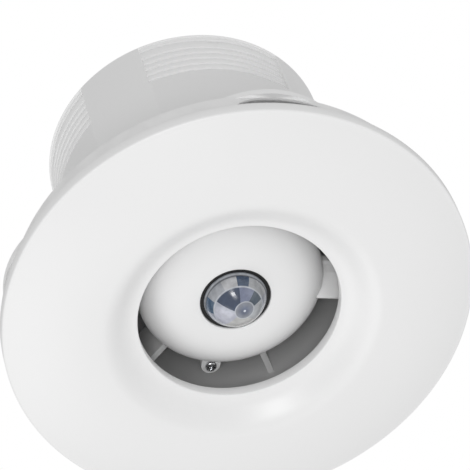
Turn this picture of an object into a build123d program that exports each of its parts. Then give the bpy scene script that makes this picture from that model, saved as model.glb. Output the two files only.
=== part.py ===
from build123d import *
from math import cos, radians, sin, sqrt
import os

# Ceiling extractor fan, 100 mm duct size, with a movement sensor in the middle of its inlet.
# +Z runs up along the fan's axis into the duct. The origin is on that axis, in the face that
# lies against the ceiling, so the fascia hangs below z = 0 and the duct body stands above it.

os.makedirs("parts", exist_ok=True)

# ---- Clearances ----
seat_gap = 0.2
part_gap = 0.3
running_gap = 0.03
socket_gap = 0.08
screw_gap = 0.05

# ---- Fascia ----
fascia_radius = 80.0
fascia_wall = 2.2
base_depth = 11.7
rim_height = 4.4
rim_round = 0.8
crest_radius = 48.0
crest_rise = 10.4
throat_radius = 34.6
lip_rise = 4.0
lip_round = 0.5
dish_ease = 5.5
crest_ease = 5.0

# ---- Base flange ----
base_taper = 4.7
base_rim_step = 0.5
base_wall = 2.0
plate_thickness = 2.5
lobe_reach = 2.5
lobe_radius = 32.0
notch_radius = 17.0
pocket_depth = 8.0
pocket_wall = 1.4
fixing_hole_radius = 2.25
fixing_angle = 18.0
peg_radius = 2.5
peg_length_in_socket = 6.0
socket_depth = 8.5
socket_wall = 1.8
peg_angle = 72.0

# ---- Duct body ----
body_radius = 49.2
body_wall = 2.4
collar_reach = 1.2
mouth_chamfer = 0.6
body_length = 81.2
flange_width = 5.3
flange_thickness = 2.2
patch_angle = 61.0
patch_depth = 0.55
groove_depth = 0.8
groove_height = 1.1
groove_lead = 0.45
groove_pitch = 3.44
groove_count = 5
top_groove_drop = 2.3
second_groove_drop = 7.1
patch_foot = 2.5
patch_head = 0.9
window_width = 4.0
window_height = 1.2
window_drop = 4.1
hook_bite = 0.6

# ---- Stator carrier ----
ring_wall = 1.2
carrier_flange_thickness = 2.0
ring_top = 24.0
hub_radius = 31.0
hub_wall = 1.8
hub_front = 4.5
hub_length = 26.5
hub_back_wall = 2.0
vane_count = 6
vane_thickness = 2.0
vane_length = 16.0
boss_radius = 3.3
boss_height = 10.0
boss_circle = 35.6

# ---- Screws ----
body_screw_radius = 1.5
body_screw_circle = 51.9
small_screw_radius = 1.1

# ---- Sensor pod ----
pod_radius = 32.0
pod_wall = 1.6
pod_edge_height = 1.5
pod_front = 8.5
lens_hole_radius = 12.1
lens_radius = 11.0
lens_wall = 1.0
lens_apex = 16.2
lens_flange = 2.4
bridge_thickness = 2.0
arm_width = 15.0
arm_crown = -2.8
arm_lee = 5.5
arm_swell = 0.6
arm_edge = 3.1
arm_edge_round = 1.6
arm_depth = 8.5
arm_wall = 1.6
arm_root = 2.4
board_thickness = 1.6
sensor_board_radius = 26.0
sensor_radius = 4.6
sensor_height = 4.5

# ---- Motor ----
can_radius = 27.0
can_wall = 1.6
can_front = 7.0
end_wall = 1.2
cap_thickness = 2.0
shaft_radius = 2.0
shaft_length = 47.6
bearing_radius = 5.5
bearing_width = 4.0
bearing_seat_wall = 1.6
rotor_radius = 14.0
air_gap = 0.4
stack_height = 9.0
stack_front = 14.5
tooth_count = 6
tooth_width = 5.0
yoke_width = 4.0
coil_build = 4.0
coil_overhang = 3.0

# ---- Impeller ----
impeller_front = 33.0
impeller_height = 18.0
impeller_hub_radius = 22.0
impeller_wall = 1.5
impeller_boss_radius = 5.0
tip_clearance = 1.0
blade_count = 7
hub_pitch = 50.0
tip_pitch = 28.0
hub_chord = 19.0
tip_chord = 30.0
blade_thickness = 1.8
blade_camber = 2.2
nut_flats = 7.0
nut_height = 3.2
washer_thickness = 0.8

# ---- Back-draught shutter ----
shutter_height = 11.2
shutter_wall = 1.4
seat_width = 2.2
seat_thickness = 1.5
bar_width = 12.0
hinge_offset = 3.0
hinge_height = 3.5
pin_radius = 1.0
barrel_wall = 0.65
flap_thickness = 1.0
flap_clearance = 0.7
lug_width = 4.0

# ---- Wiring and control parts on the base ----
cable_angle = 30.0
cable_hole_radius = 5.0
cable_bore_radius = 3.6
clamp_angle = 39.5
block_angle = 54.0
block_size = (12.0, 22.0, 10.0)
pole_count = 3
board_angle = 135.0
board_size = (14.5, 42.0)
standoff_height = 4.0

# ---- Positions that follow from the sizes above ----
base_radius = fascia_radius - base_taper
rim_z = -base_depth
lip_z = rim_z - lip_rise
crest_z = rim_z - crest_rise
corner_z = rim_z - rim_height
plate_z = -plate_thickness
body_inner = body_radius - body_wall
body_flange_radius = body_radius + flange_width
body_flange_z = plate_z - flange_thickness
carrier_z = body_flange_z - carrier_flange_thickness
ring_outer = body_inner - seat_gap
ring_inner = ring_outer - ring_wall
hub_inner = hub_radius - hub_wall
hub_top = hub_front + hub_length
base_inner = base_radius - base_wall
cavity_radius = (body_flange_radius + base_inner) / 2
quarter_turns = (0, 90, 180, 270)

# The front face of the fascia is one large arc that starts level at the crest.
face_run = fascia_radius - rim_round - crest_radius
face_drop = crest_rise - rim_height
face_curve = (face_run**2 + face_drop**2) / (2 * face_drop)


def face_z(radius):
    """Height of the fascia's front face at a radius outside its crest."""
    return crest_z + face_curve - sqrt(face_curve**2 - (radius - crest_radius) ** 2)


def radial_plane(angle, radius):
    """Plane square to the radius at an angle: x runs round, y runs up and z outward."""
    outward = Vector(cos(radians(angle)), sin(radians(angle)), 0)
    return Plane(origin=outward * radius, x_dir=outward.rotate(Axis.Z, 90), z_dir=outward)


def meridian_plane(angle):
    """Plane through the fan's axis at an angle: x runs outward and y runs up."""
    outward = Vector(cos(radians(angle)), sin(radians(angle)), 0)
    return Plane(origin=(0, 0, 0), x_dir=outward, z_dir=outward.rotate(Axis.Z, -90))


def room_plane(angle, height, radius=cavity_radius):
    """Plane on the base at an angle: x runs outward, z points down into the room."""
    outward = Vector(cos(radians(angle)), sin(radians(angle)), 0)
    return Plane(origin=outward * radius + Vector(0, 0, height), x_dir=outward, z_dir=(0, 0, -1))


def pan_head_screw(shank_radius, length):
    """Cross-recess pan-head screw: the head hangs below z = 0 and the shank points up."""
    head_radius = shank_radius * 1.8
    head_height = shank_radius * 1.25
    recess_depth = head_height * 0.6
    with BuildPart() as screw:
        with BuildSketch(Plane.XY.offset(-head_height)):
            Circle(head_radius)
        extrude(amount=head_height)
        fillet(screw.edges().sort_by(Axis.Z)[0], radius=head_height * 0.55)
        with BuildSketch(Plane.XY):
            Circle(shank_radius)
        extrude(amount=length)
        chamfer(screw.edges().sort_by(Axis.Z)[-1], length=shank_radius * 0.35)
        with BuildSketch(Plane.XY.offset(-head_height)):
            Rectangle(head_radius * 1.15, head_radius * 0.28)
            Rectangle(head_radius * 0.28, head_radius * 1.15)
        extrude(amount=recess_depth, mode=Mode.SUBTRACT)
    return screw.part


# ---- Front fascia: round dished cover with the inlet throat and four push-in pegs ----
throat_wall_radius = throat_radius + fascia_wall
socket_front_z = plate_z - socket_depth
peg_tip_z = socket_front_z + peg_length_in_socket
peg_root_z = face_z(cavity_radius + peg_radius) + 0.4 * fascia_wall

with BuildPart() as front_fascia:
    with BuildSketch(Plane.XZ):
        with BuildLine():
            Line((throat_radius, rim_z), (throat_radius, lip_z + lip_round))
            RadiusArc(
                (throat_radius, lip_z + lip_round), (throat_radius + lip_round, lip_z), -lip_round
            )
            Bezier(
                (throat_radius + lip_round, lip_z),
                (throat_radius + dish_ease, lip_z - 0.3),
                (crest_radius - crest_ease, crest_z),
                (crest_radius, crest_z),
            )
            TangentArc(
                (crest_radius, crest_z), (fascia_radius - rim_round, corner_z), tangent=(1, 0)
            )
            RadiusArc(
                (fascia_radius - rim_round, corner_z),
                (fascia_radius, corner_z + rim_round),
                -rim_round * 1.1,
            )
            Polyline(
                (fascia_radius, corner_z + rim_round),
                (fascia_radius, rim_z),
                (fascia_radius - fascia_wall, rim_z),
                (fascia_radius - fascia_wall, face_z(fascia_radius - fascia_wall) + fascia_wall),
            )
            TangentArc(
                (crest_radius, crest_z + fascia_wall),
                (fascia_radius - fascia_wall, face_z(fascia_radius - fascia_wall) + fascia_wall),
                tangent=(1, 0),
            )
            Bezier(
                (throat_wall_radius, lip_z + fascia_wall),
                (throat_radius + dish_ease + 1.0, lip_z + 0.7 * fascia_wall),
                (crest_radius - crest_ease + 0.8, crest_z + fascia_wall),
                (crest_radius, crest_z + fascia_wall),
            )
            Polyline(
                (throat_wall_radius, lip_z + fascia_wall),
                (throat_wall_radius, rim_z),
                (throat_radius, rim_z),
            )
        make_face()
    revolve(axis=Axis.Z)
    with BuildSketch(Plane.XY.offset(peg_root_z)):
        with PolarLocations(cavity_radius, 4, start_angle=peg_angle):
            Circle(peg_radius)
    extrude(amount=peg_tip_z - peg_root_z)

front_fascia.part.label = "front_fascia"
export_step(front_fascia.part, "parts/front_fascia.step")


# ---- Base flange: conical ring and plate that is screwed to the ceiling ----
base_front_z = rim_z + seat_gap
base_front_radius = fascia_radius - base_rim_step
lobe_circle = base_radius + lobe_reach - lobe_radius
body_hole_radius = body_radius + collar_reach + seat_gap
pocket_back = base_radius - pocket_depth

with BuildPart() as pocket_shells:
    for angle in quarter_turns:
        with BuildSketch(radial_plane(angle, pocket_back)):
            with Locations((0, plate_z - notch_radius)):
                Circle(notch_radius + pocket_wall)
        extrude(amount=fascia_radius - pocket_back)
    with BuildSketch(Plane.XZ):
        with BuildLine():
            Polyline(
                (0, plate_z + 1),
                (base_radius, plate_z + 1),
                (base_radius, plate_z),
                (base_front_radius - 0.2, base_front_z),
                (0, base_front_z),
                close=True,
            )
        make_face()
    revolve(axis=Axis.Z, mode=Mode.INTERSECT)

with BuildPart() as base_flange:
    with BuildSketch(Plane.XZ):
        with BuildLine():
            Polyline(
                (body_hole_radius, 0),
                (base_radius, 0),
                (base_front_radius, base_front_z),
                (base_front_radius - base_wall, base_front_z),
                (base_inner, plate_z),
                (body_hole_radius, plate_z),
                close=True,
            )
        make_face()
    revolve(axis=Axis.Z)
    # Four lobes swell out of the plate's edge behind the finger notches.
    with BuildSketch(Plane.XY.offset(plate_z)):
        with PolarLocations(lobe_circle, 4):
            Circle(lobe_radius)
        Circle(cavity_radius, mode=Mode.SUBTRACT)
    extrude(amount=plate_thickness)
    # Arched finger pockets in the conical wall, to pull the fascia off, closed at the back.
    add(pocket_shells.part)
    for angle in quarter_turns:
        with BuildSketch(radial_plane(angle, pocket_back + pocket_wall)):
            with Locations((0, plate_z - notch_radius)):
                Circle(notch_radius)
        extrude(amount=fascia_radius - pocket_back, mode=Mode.SUBTRACT)
    # Sockets for the fascia's pegs.
    with BuildSketch(Plane.XY.offset(plate_z)):
        with PolarLocations(cavity_radius, 4, start_angle=peg_angle):
            Circle(peg_radius + socket_gap + socket_wall)
    extrude(amount=socket_front_z - plate_z)
    with BuildSketch(Plane.XY.offset(socket_front_z)):
        with PolarLocations(cavity_radius, 4, start_angle=peg_angle):
            Circle(peg_radius + socket_gap)
    extrude(amount=peg_length_in_socket + 1.0, mode=Mode.SUBTRACT)
    # Ceiling fixing holes, duct body screw holes and the cable entry.
    with BuildSketch(Plane.XY.offset(plate_z)):
        with PolarLocations(cavity_radius, 4, start_angle=fixing_angle):
            Circle(fixing_hole_radius)
        with PolarLocations(body_screw_circle, 4, start_angle=45):
            Circle(body_screw_radius + screw_gap)
        with PolarLocations(cavity_radius, 1, start_angle=cable_angle):
            Circle(cable_hole_radius)
    extrude(amount=plate_thickness, mode=Mode.SUBTRACT)
    # Standoffs that carry the control board.
    for side in (-1, 1):
        with BuildSketch(room_plane(board_angle, plate_z)):
            with Locations((0, side * (board_size[1] / 2 - 3))):
                Circle(2.4)
                Circle(small_screw_radius + screw_gap, mode=Mode.SUBTRACT)
        extrude(amount=standoff_height)

base_flange.part.label = "base_flange"
export_step(base_flange.part, "parts/base_flange.step")


# ---- Duct body: round spigot with four ribbed patches and a clamping flange ----
patch_radius = body_radius - patch_depth
groove_radius = patch_radius - groove_depth
groove_tops = [body_length - top_groove_drop]
groove_tops += [body_length - second_groove_drop - n * groove_pitch for n in range(groove_count)]
patch_bottom = groove_tops[-1] - patch_foot
window_z = body_length - window_drop

with BuildPart() as duct_body:
    with BuildSketch(Plane.XZ):
        with BuildLine():
            Polyline(
                (body_inner, body_flange_z),
                (body_flange_radius, body_flange_z),
                (body_flange_radius, plate_z),
                (body_radius + collar_reach, plate_z),
                (body_radius + collar_reach, 0),
                (body_radius, 0),
                (body_radius, body_length - mouth_chamfer),
                (body_radius - mouth_chamfer, body_length),
                (body_inner, body_length),
                close=True,
            )
        make_face()
    revolve(axis=Axis.Z)
    # Each patch is sunk a little and its ribs lean like barbs, with a groove under each.
    for angle in quarter_turns:
        with BuildSketch(meridian_plane(angle - patch_angle / 2)):
            with BuildLine():
                outline = [(body_radius + 1, patch_bottom), (patch_radius, patch_bottom)]
                for top in reversed(groove_tops):
                    outline.append((patch_radius, top - groove_height - groove_lead))
                    outline.append((groove_radius, top - groove_height))
                    outline.append((groove_radius, top))
                    outline.append((patch_radius, top))
                outline.append((patch_radius, body_length - patch_head))
                outline.append((body_radius + 1, body_length - patch_head))
                Polyline(*outline, close=True)
            make_face()
        revolve(axis=Axis.Z, revolution_arc=patch_angle, mode=Mode.SUBTRACT)
    # Windows that the shutter frame's hooks snap into.
    for angle in quarter_turns:
        with BuildSketch(radial_plane(angle, body_inner - 1)):
            with Locations((0, window_z)):
                Rectangle(window_width, window_height)
        extrude(amount=body_wall + 2, mode=Mode.SUBTRACT)
    with BuildSketch(Plane.XY.offset(body_flange_z)):
        with PolarLocations(body_screw_circle, 4, start_angle=45):
            Circle(body_screw_radius + screw_gap)
    extrude(amount=flange_thickness, mode=Mode.SUBTRACT)

duct_body.part.label = "duct_body"
export_step(duct_body.part, "parts/duct_body.step")


# ---- Stator carrier: ring, straightening vanes and the cup that holds the motor ----
with BuildPart() as stator_carrier:
    with BuildSketch(Plane.XZ):
        with BuildLine():
            Polyline(
                (ring_inner, carrier_z),
                (body_flange_radius, carrier_z),
                (body_flange_radius, body_flange_z),
                (ring_outer, body_flange_z),
                (ring_outer, ring_top),
                (ring_inner, ring_top),
                close=True,
            )
        make_face()
    revolve(axis=Axis.Z)
    # Hub cup, open towards the room, with a back wall for the motor.
    with BuildSketch(Plane.XY.offset(hub_front)):
        Circle(hub_radius)
        Circle(hub_inner, mode=Mode.SUBTRACT)
    extrude(amount=hub_length)
    with BuildSketch(Plane.XY.offset(hub_top - hub_back_wall)):
        Circle(hub_inner + 0.1)
        Circle(bearing_radius + bearing_seat_wall + 0.8, mode=Mode.SUBTRACT)
        with PolarLocations(can_radius * 0.6, 2, start_angle=90):
            Circle(small_screw_radius + screw_gap, mode=Mode.SUBTRACT)
    extrude(amount=hub_back_wall)
    # Vanes from the hub to the ring.
    vane_start = hub_radius - 0.4
    vane_end = ring_inner + 0.4
    with BuildSketch(Plane.XY.offset(hub_front)):
        with PolarLocations((vane_start + vane_end) / 2, vane_count):
            Rectangle(vane_end - vane_start, vane_thickness)
    extrude(amount=vane_length)
    # Screw bosses on the hub for the sensor pod.
    with BuildSketch(Plane.XY.offset(hub_front)):
        with PolarLocations(boss_circle, 2, start_angle=90):
            Circle(boss_radius)
        with PolarLocations((boss_circle + hub_radius - 0.8) / 2, 2, start_angle=90):
            Rectangle(boss_circle - hub_radius + 0.8, 2 * boss_radius)
    extrude(amount=boss_height)
    with BuildSketch(Plane.XY.offset(hub_front)):
        with PolarLocations(boss_circle, 2, start_angle=90):
            Circle(small_screw_radius + screw_gap)
    extrude(amount=boss_height - 2, mode=Mode.SUBTRACT)
    # Room for the pod's arms across two vanes and the ring, and the flange's screw holes.
    with BuildSketch(Plane.XY.offset(carrier_z)):
        with PolarLocations((hub_radius + ring_outer + 1) / 2, 2):
            Rectangle(ring_outer + 1 - hub_radius, arm_width + 2 * seat_gap)
    extrude(amount=arm_depth + seat_gap - carrier_z, mode=Mode.SUBTRACT)
    with BuildSketch(Plane.XY.offset(carrier_z)):
        with PolarLocations(body_screw_circle, 4, start_angle=45):
            Circle(body_screw_radius + screw_gap)
    extrude(amount=carrier_flange_thickness, mode=Mode.SUBTRACT)

stator_carrier.part.label = "stator_carrier"
export_step(stator_carrier.part, "parts/stator_carrier.step")


# ---- Screws that clamp the carrier and the duct body to the base ----
body_screw = pan_head_screw(body_screw_radius, -carrier_z - 0.3)

with BuildPart(Plane.XY.offset(carrier_z)) as body_screws:
    with PolarLocations(body_screw_circle, 4, start_angle=45):
        add(body_screw)

body_screws.part.label = "body_screws"
export_step(body_screws.part, "parts/body_screws.step")


# ---- Pod bridge: back plate of the sensor pod, its two hollow arms and two screw ears ----
bridge_z = hub_front - bridge_thickness
arm_end = sqrt((body_inner - seat_gap) ** 2 - (arm_width / 2) ** 2)
bridge_radius = pod_radius - 0.4
arm_start = hub_radius + part_gap
arm_lean = arm_width / 2
arm_slope = (arm_lee - arm_crown) / (arm_lean + arm_edge - arm_edge_round)
channel_near = -arm_lean + arm_wall
channel_far = arm_edge - arm_wall
channel_floor = arm_lee + arm_wall * sqrt(1 + arm_slope**2)


def arm_section(angle, start, bottom, gap=0.0):
    """Section of an arm: its face slopes back from a round edge, like a fixed blade."""
    with BuildSketch(radial_plane(angle, start)) as section:
        with BuildLine():
            ThreePointArc(
                (-arm_lean - gap, arm_lee - gap),
                ((arm_edge - arm_edge_round - arm_lean) / 2, (arm_lee + arm_crown) / 2 - arm_swell - gap),
                (arm_edge - arm_edge_round, arm_crown - gap),
            )
            ThreePointArc(
                (arm_edge - arm_edge_round, arm_crown - gap),
                (arm_edge - 0.3 * arm_edge_round + gap, arm_crown + 0.3 * arm_edge_round - gap),
                (arm_edge + gap, arm_crown + arm_edge_round),
            )
            Polyline(
                (arm_edge + gap, arm_crown + arm_edge_round),
                (arm_edge + gap, bottom),
                (-arm_lean - gap, bottom),
                (-arm_lean - gap, arm_lee - gap),
            )
        make_face()
    return section.sketch


# The two arms, channelled behind for the sensor's lead, clear of the hub below its front.
with BuildPart() as pod_arms:
    for angle in (0, 180):
        extrude(arm_section(angle, arm_start - arm_root, arm_depth), amount=arm_end - arm_start + arm_root)
        with BuildSketch(radial_plane(angle, arm_start + arm_wall)):
            with BuildLine():
                Polyline(
                    (channel_near, channel_floor - arm_slope * (channel_near + arm_lean)),
                    (channel_far, channel_floor - arm_slope * (channel_far + arm_lean)),
                    (channel_far, arm_depth + 1),
                    (channel_near, arm_depth + 1),
                    close=True,
                )
            make_face()
        extrude(amount=arm_end - arm_start - 2 * arm_wall, mode=Mode.SUBTRACT)
    with BuildSketch(Plane.XY.offset(hub_front)):
        Circle(arm_start)
    extrude(amount=arm_depth - hub_front, mode=Mode.SUBTRACT)

with BuildPart() as pod_bridge:
    with BuildSketch(Plane.XY.offset(bridge_z)):
        Circle(bridge_radius)
        with PolarLocations(boss_circle, 2, start_angle=90):
            Circle(boss_radius)
        with PolarLocations((boss_circle + bridge_radius - 2) / 2, 2, start_angle=90):
            Rectangle(boss_circle - bridge_radius + 2, 2 * boss_radius)
    extrude(amount=bridge_thickness)
    add(pod_arms.part)
    with BuildSketch(Plane.XY.offset(bridge_z)):
        with PolarLocations(boss_circle, 2, start_angle=90):
            Circle(small_screw_radius + screw_gap)
    extrude(amount=bridge_thickness, mode=Mode.SUBTRACT)
    # Standoffs under the sensor board.
    with BuildSketch(Plane.XY.offset(bridge_z)):
        with PolarLocations(sensor_board_radius - 4, 3, start_angle=30):
            Circle(2)
    extrude(amount=-1.0)

pod_bridge.part.label = "pod_bridge"
export_step(pod_bridge.part, "parts/pod_bridge.step")


# ---- Pod screws ----
pod_screw = pan_head_screw(small_screw_radius, bridge_thickness + 6)

with BuildPart(Plane.XY.offset(bridge_z)) as pod_screws:
    with PolarLocations(boss_circle, 2, start_angle=90):
        add(pod_screw)

pod_screws.part.label = "pod_screws"
export_step(pod_screws.part, "parts/pod_screws.step")


# ---- Pod cover: domed cap with a round window for the sensor lens ----
pod_inner = pod_radius - pod_wall

with BuildPart() as pod_cover:
    with BuildSketch(Plane.XZ):
        with BuildLine():
            Bezier(
                (lens_hole_radius, -pod_front),
                (lens_hole_radius + 10, -pod_front + 0.2),
                (pod_radius, pod_edge_height - 6),
                (pod_radius, pod_edge_height),
            )
            Polyline(
                (pod_radius, pod_edge_height),
                (pod_radius, bridge_z),
                (pod_inner, bridge_z),
                (pod_inner, pod_edge_height),
            )
            Bezier(
                (lens_hole_radius, -pod_front + pod_wall),
                (lens_hole_radius + 9.4, -pod_front + pod_wall + 0.2),
                (pod_inner, pod_edge_height - 5),
                (pod_inner, pod_edge_height),
            )
            Line(
                (lens_hole_radius, -pod_front + pod_wall),
                (lens_hole_radius, -pod_front),
            )
        make_face()
    revolve(axis=Axis.Z)
    # Cut-outs that straddle the two arms.
    for angle in (0, 180):
        cut_start = arm_start - arm_root - seat_gap
        extrude(
            arm_section(angle, cut_start, arm_depth, seat_gap),
            amount=pod_radius + 1 - cut_start,
            mode=Mode.SUBTRACT,
        )

pod_cover.part.label = "pod_cover"
export_step(pod_cover.part, "parts/pod_cover.step")


# ---- Sensor lens: shallow translucent dome with a seating flange ----
lens_flange_front = -pod_front + pod_wall + seat_gap
lens_base_z = -pod_front + 1.0
lens_cap = lens_apex + lens_base_z
lens_sphere = (lens_radius**2 + lens_cap**2) / (2 * lens_cap)

with BuildPart() as sensor_lens:
    with BuildSketch(Plane.XZ):
        with BuildLine():
            RadiusArc((0, -lens_apex), (lens_radius, lens_base_z), -lens_sphere)
            Polyline(
                (lens_radius, lens_base_z),
                (lens_radius, lens_flange_front),
                (lens_radius + lens_flange, lens_flange_front),
                (lens_radius + lens_flange, lens_flange_front + 1.2),
                (lens_radius - lens_wall, lens_flange_front + 1.2),
                (lens_radius - lens_wall, lens_base_z + 0.55),
            )
            RadiusArc(
                (0, -lens_apex + lens_wall),
                (lens_radius - lens_wall, lens_base_z + 0.55),
                -(lens_sphere - lens_wall),
            )
            Line((0, -lens_apex + lens_wall), (0, -lens_apex))
        make_face()
    revolve(axis=Axis.Z)

sensor_lens.part.label = "sensor_lens"
export_step(sensor_lens.part, "parts/sensor_lens.step")


# ---- Lens seal: dark ring sunk in the gap around the lens ----
with BuildPart() as lens_seal:
    with BuildSketch(Plane.XY.offset(-pod_front + 0.7)):
        Circle(lens_hole_radius - 0.05)
        Circle(lens_radius + 0.05, mode=Mode.SUBTRACT)
    extrude(amount=lens_flange_front + pod_front - 0.7)

lens_seal.part.label = "lens_seal"
export_step(lens_seal.part, "parts/lens_seal.step")


# ---- Sensor board, movement sensor can and its filter window ----
board_back_z = bridge_z - 1.0
board_front_z = board_back_z - board_thickness
sensor_front_z = board_front_z - sensor_height

with BuildPart() as sensor_board:
    with BuildSketch(Plane.XY.offset(board_front_z)):
        Circle(sensor_board_radius)
    extrude(amount=board_thickness)

sensor_board.part.label = "sensor_board"
export_step(sensor_board.part, "parts/sensor_board.step")

with BuildPart() as sensor_can:
    with BuildSketch(Plane.XY.offset(board_front_z)):
        Circle(sensor_radius + 0.5)
    extrude(amount=-0.5)
    with BuildSketch(Plane.XY.offset(board_front_z - 0.5)):
        Circle(sensor_radius)
    extrude(amount=0.5 - sensor_height)
    fillet(sensor_can.edges().sort_by(Axis.Z)[0], radius=0.5)
    with BuildSketch(Plane.XY.offset(sensor_front_z)):
        Rectangle(4.0, 3.0)
    extrude(amount=0.4, mode=Mode.SUBTRACT)

sensor_can.part.label = "sensor_can"
export_step(sensor_can.part, "parts/sensor_can.step")

with BuildPart() as sensor_window:
    with BuildSketch(Plane.XY.offset(sensor_front_z + 0.05)):
        Rectangle(3.9, 2.9)
    extrude(amount=0.3)

sensor_window.part.label = "sensor_window"
export_step(sensor_window.part, "parts/sensor_window.step")


# ---- Motor can: drawn cup with a bearing seat in its end wall ----
can_inner = can_radius - can_wall
can_back = hub_top - hub_back_wall - cap_thickness
front_bearing_z = can_front + end_wall
bearing_bore = shaft_radius + running_gap
bearing_seat = bearing_radius + screw_gap

with BuildPart() as motor_can:
    with BuildSketch(Plane.XY.offset(can_front)):
        Circle(can_radius)
    extrude(amount=can_back - can_front)
    fillet(motor_can.edges().sort_by(Axis.Z)[0], radius=1.0)
    with BuildSketch(Plane.XY.offset(front_bearing_z)):
        Circle(can_inner)
        Circle(bearing_seat + bearing_seat_wall, mode=Mode.SUBTRACT)
    extrude(amount=bearing_width, mode=Mode.SUBTRACT)
    with BuildSketch(Plane.XY.offset(front_bearing_z + bearing_width)):
        Circle(can_inner)
    extrude(amount=can_back - can_front, mode=Mode.SUBTRACT)
    with BuildSketch(Plane.XY.offset(front_bearing_z)):
        Circle(bearing_seat)
    extrude(amount=bearing_width, mode=Mode.SUBTRACT)

motor_can.part.label = "motor_can"
export_step(motor_can.part, "parts/motor_can.step")


# ---- Motor end cap: closes the can and carries the rear bearing in a short nose ----
cap_boss_front = stack_front + stack_height + 2.0
cap_boss_back = hub_top + 0.5
rear_bearing_z = cap_boss_front + 0.5
seat_outer = bearing_seat + bearing_seat_wall - 0.2

with BuildPart() as motor_end_cap:
    with BuildSketch(Plane.XY.offset(can_back)):
        Circle(can_radius)
    extrude(amount=cap_thickness)
    with BuildSketch(Plane.XY.offset(cap_boss_front)):
        Circle(seat_outer)
    extrude(amount=cap_boss_back - cap_boss_front)
    with BuildSketch(Plane.XY.offset(cap_boss_front)):
        Circle(bearing_seat)
    extrude(amount=0.5 + bearing_width, mode=Mode.SUBTRACT)
    with BuildSketch(Plane.XY.offset(cap_boss_front)):
        Circle(shaft_radius + 0.8)
    extrude(amount=cap_boss_back - cap_boss_front, mode=Mode.SUBTRACT)
    with BuildSketch(Plane.XY.offset(can_back)):
        with PolarLocations(can_radius * 0.6, 2, start_angle=90):
            Circle(small_screw_radius + screw_gap)
    extrude(amount=cap_thickness, mode=Mode.SUBTRACT)

motor_end_cap.part.label = "motor_end_cap"
export_step(motor_end_cap.part, "parts/motor_end_cap.step")


# ---- Motor screws: they hold the end cap against the hub's back wall ----
motor_screw = pan_head_screw(small_screw_radius, hub_back_wall + cap_thickness - 0.3)

with BuildPart(Plane((0, 0, hub_top), x_dir=(1, 0, 0), z_dir=(0, 0, -1))) as motor_screws:
    with PolarLocations(can_radius * 0.6, 2, start_angle=90):
        add(motor_screw)

motor_screws.part.label = "motor_screws"
export_step(motor_screws.part, "parts/motor_screws.step")


# ---- Bearings: shielded ball bearings, drawn as rings with a recess for the shield ----
def bearing_ring(bottom):
    """Bearing ring from a height upwards, with shallow shield recesses in both faces."""
    with BuildPart() as ring:
        with BuildSketch(Plane.XY.offset(bottom)):
            Circle(bearing_radius)
            Circle(bearing_bore, mode=Mode.SUBTRACT)
        extrude(amount=bearing_width)
        for face_height, direction in ((bottom, 1), (bottom + bearing_width, -1)):
            with BuildSketch(Plane.XY.offset(face_height)):
                Circle(bearing_radius - 0.9)
                Circle(bearing_bore + 0.8, mode=Mode.SUBTRACT)
            extrude(amount=direction * 0.25, mode=Mode.SUBTRACT)
    return ring.part


with BuildPart() as front_bearing:
    add(bearing_ring(front_bearing_z))

front_bearing.part.label = "front_bearing"
export_step(front_bearing.part, "parts/front_bearing.step")

with BuildPart() as rear_bearing:
    add(bearing_ring(rear_bearing_z))

rear_bearing.part.label = "rear_bearing"
export_step(rear_bearing.part, "parts/rear_bearing.step")


# ---- Stator core: laminated ring with inward teeth ----
core_radius = can_inner - screw_gap
tooth_tip = rotor_radius + air_gap
yoke_inner = core_radius - yoke_width

with BuildPart() as stator_core:
    with BuildSketch(Plane.XY.offset(stack_front)):
        Circle(core_radius)
        Circle(yoke_inner, mode=Mode.SUBTRACT)
        with PolarLocations((tooth_tip + yoke_inner) / 2 + 0.5, tooth_count):
            Rectangle(yoke_inner - tooth_tip + 1, tooth_width)
        with PolarLocations(tooth_tip + 0.8, tooth_count):
            Rectangle(1.6, 2.0 * tooth_width)
        Circle(tooth_tip, mode=Mode.SUBTRACT)
    extrude(amount=stack_height)

stator_core.part.label = "stator_core"
export_step(stator_core.part, "parts/stator_core.step")


# ---- Stator coils: one winding around each tooth ----
coil_start = tooth_tip + 2.3
coil_half_width = tooth_width / 2 + coil_build
coil_end = sqrt((yoke_inner - part_gap) ** 2 - coil_half_width**2)
stack_middle = stack_front + stack_height / 2

with BuildPart() as stator_coils:
    for index in range(tooth_count):
        turn = index * 360 / tooth_count
        with BuildSketch(radial_plane(turn, coil_start)):
            with Locations((0, stack_middle)):
                RectangleRounded(2 * coil_half_width, stack_height + 2 * coil_overhang, 2)
                Rectangle(tooth_width + 0.3, stack_height + 0.3, mode=Mode.SUBTRACT)
        extrude(amount=coil_end - coil_start)

stator_coils.part.label = "stator_coils"
export_step(stator_coils.part, "parts/stator_coils.step")


# ---- Rotor core with its end rings, and the motor shaft ----
end_ring_height = 1.5

with BuildPart() as rotor_core:
    with BuildSketch(Plane.XY.offset(stack_front)):
        Circle(rotor_radius)
    extrude(amount=stack_height)
    with BuildSketch(Plane.XY.offset(stack_front - end_ring_height)):
        Circle(rotor_radius - 1)
    extrude(amount=stack_height + 2 * end_ring_height)
    with BuildSketch(Plane.XY.offset(stack_front - end_ring_height)):
        Circle(shaft_radius + running_gap)
    extrude(amount=stack_height + 2 * end_ring_height, mode=Mode.SUBTRACT)

rotor_core.part.label = "rotor_core"
export_step(rotor_core.part, "parts/rotor_core.step")

shaft_front = front_bearing_z + 0.3

with BuildPart() as motor_shaft:
    with BuildSketch(Plane.XY.offset(shaft_front)):
        Circle(shaft_radius)
    extrude(amount=shaft_length)
    chamfer(motor_shaft.edges().filter_by(GeomType.CIRCLE), length=0.3)

motor_shaft.part.label = "motor_shaft"
export_step(motor_shaft.part, "parts/motor_shaft.step")


# ---- Impeller: cup-shaped hub with twisted, cambered blades ----
impeller_back = impeller_front + impeller_height
impeller_middle = impeller_front + impeller_height / 2
tip_radius = body_inner - tip_clearance


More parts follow.
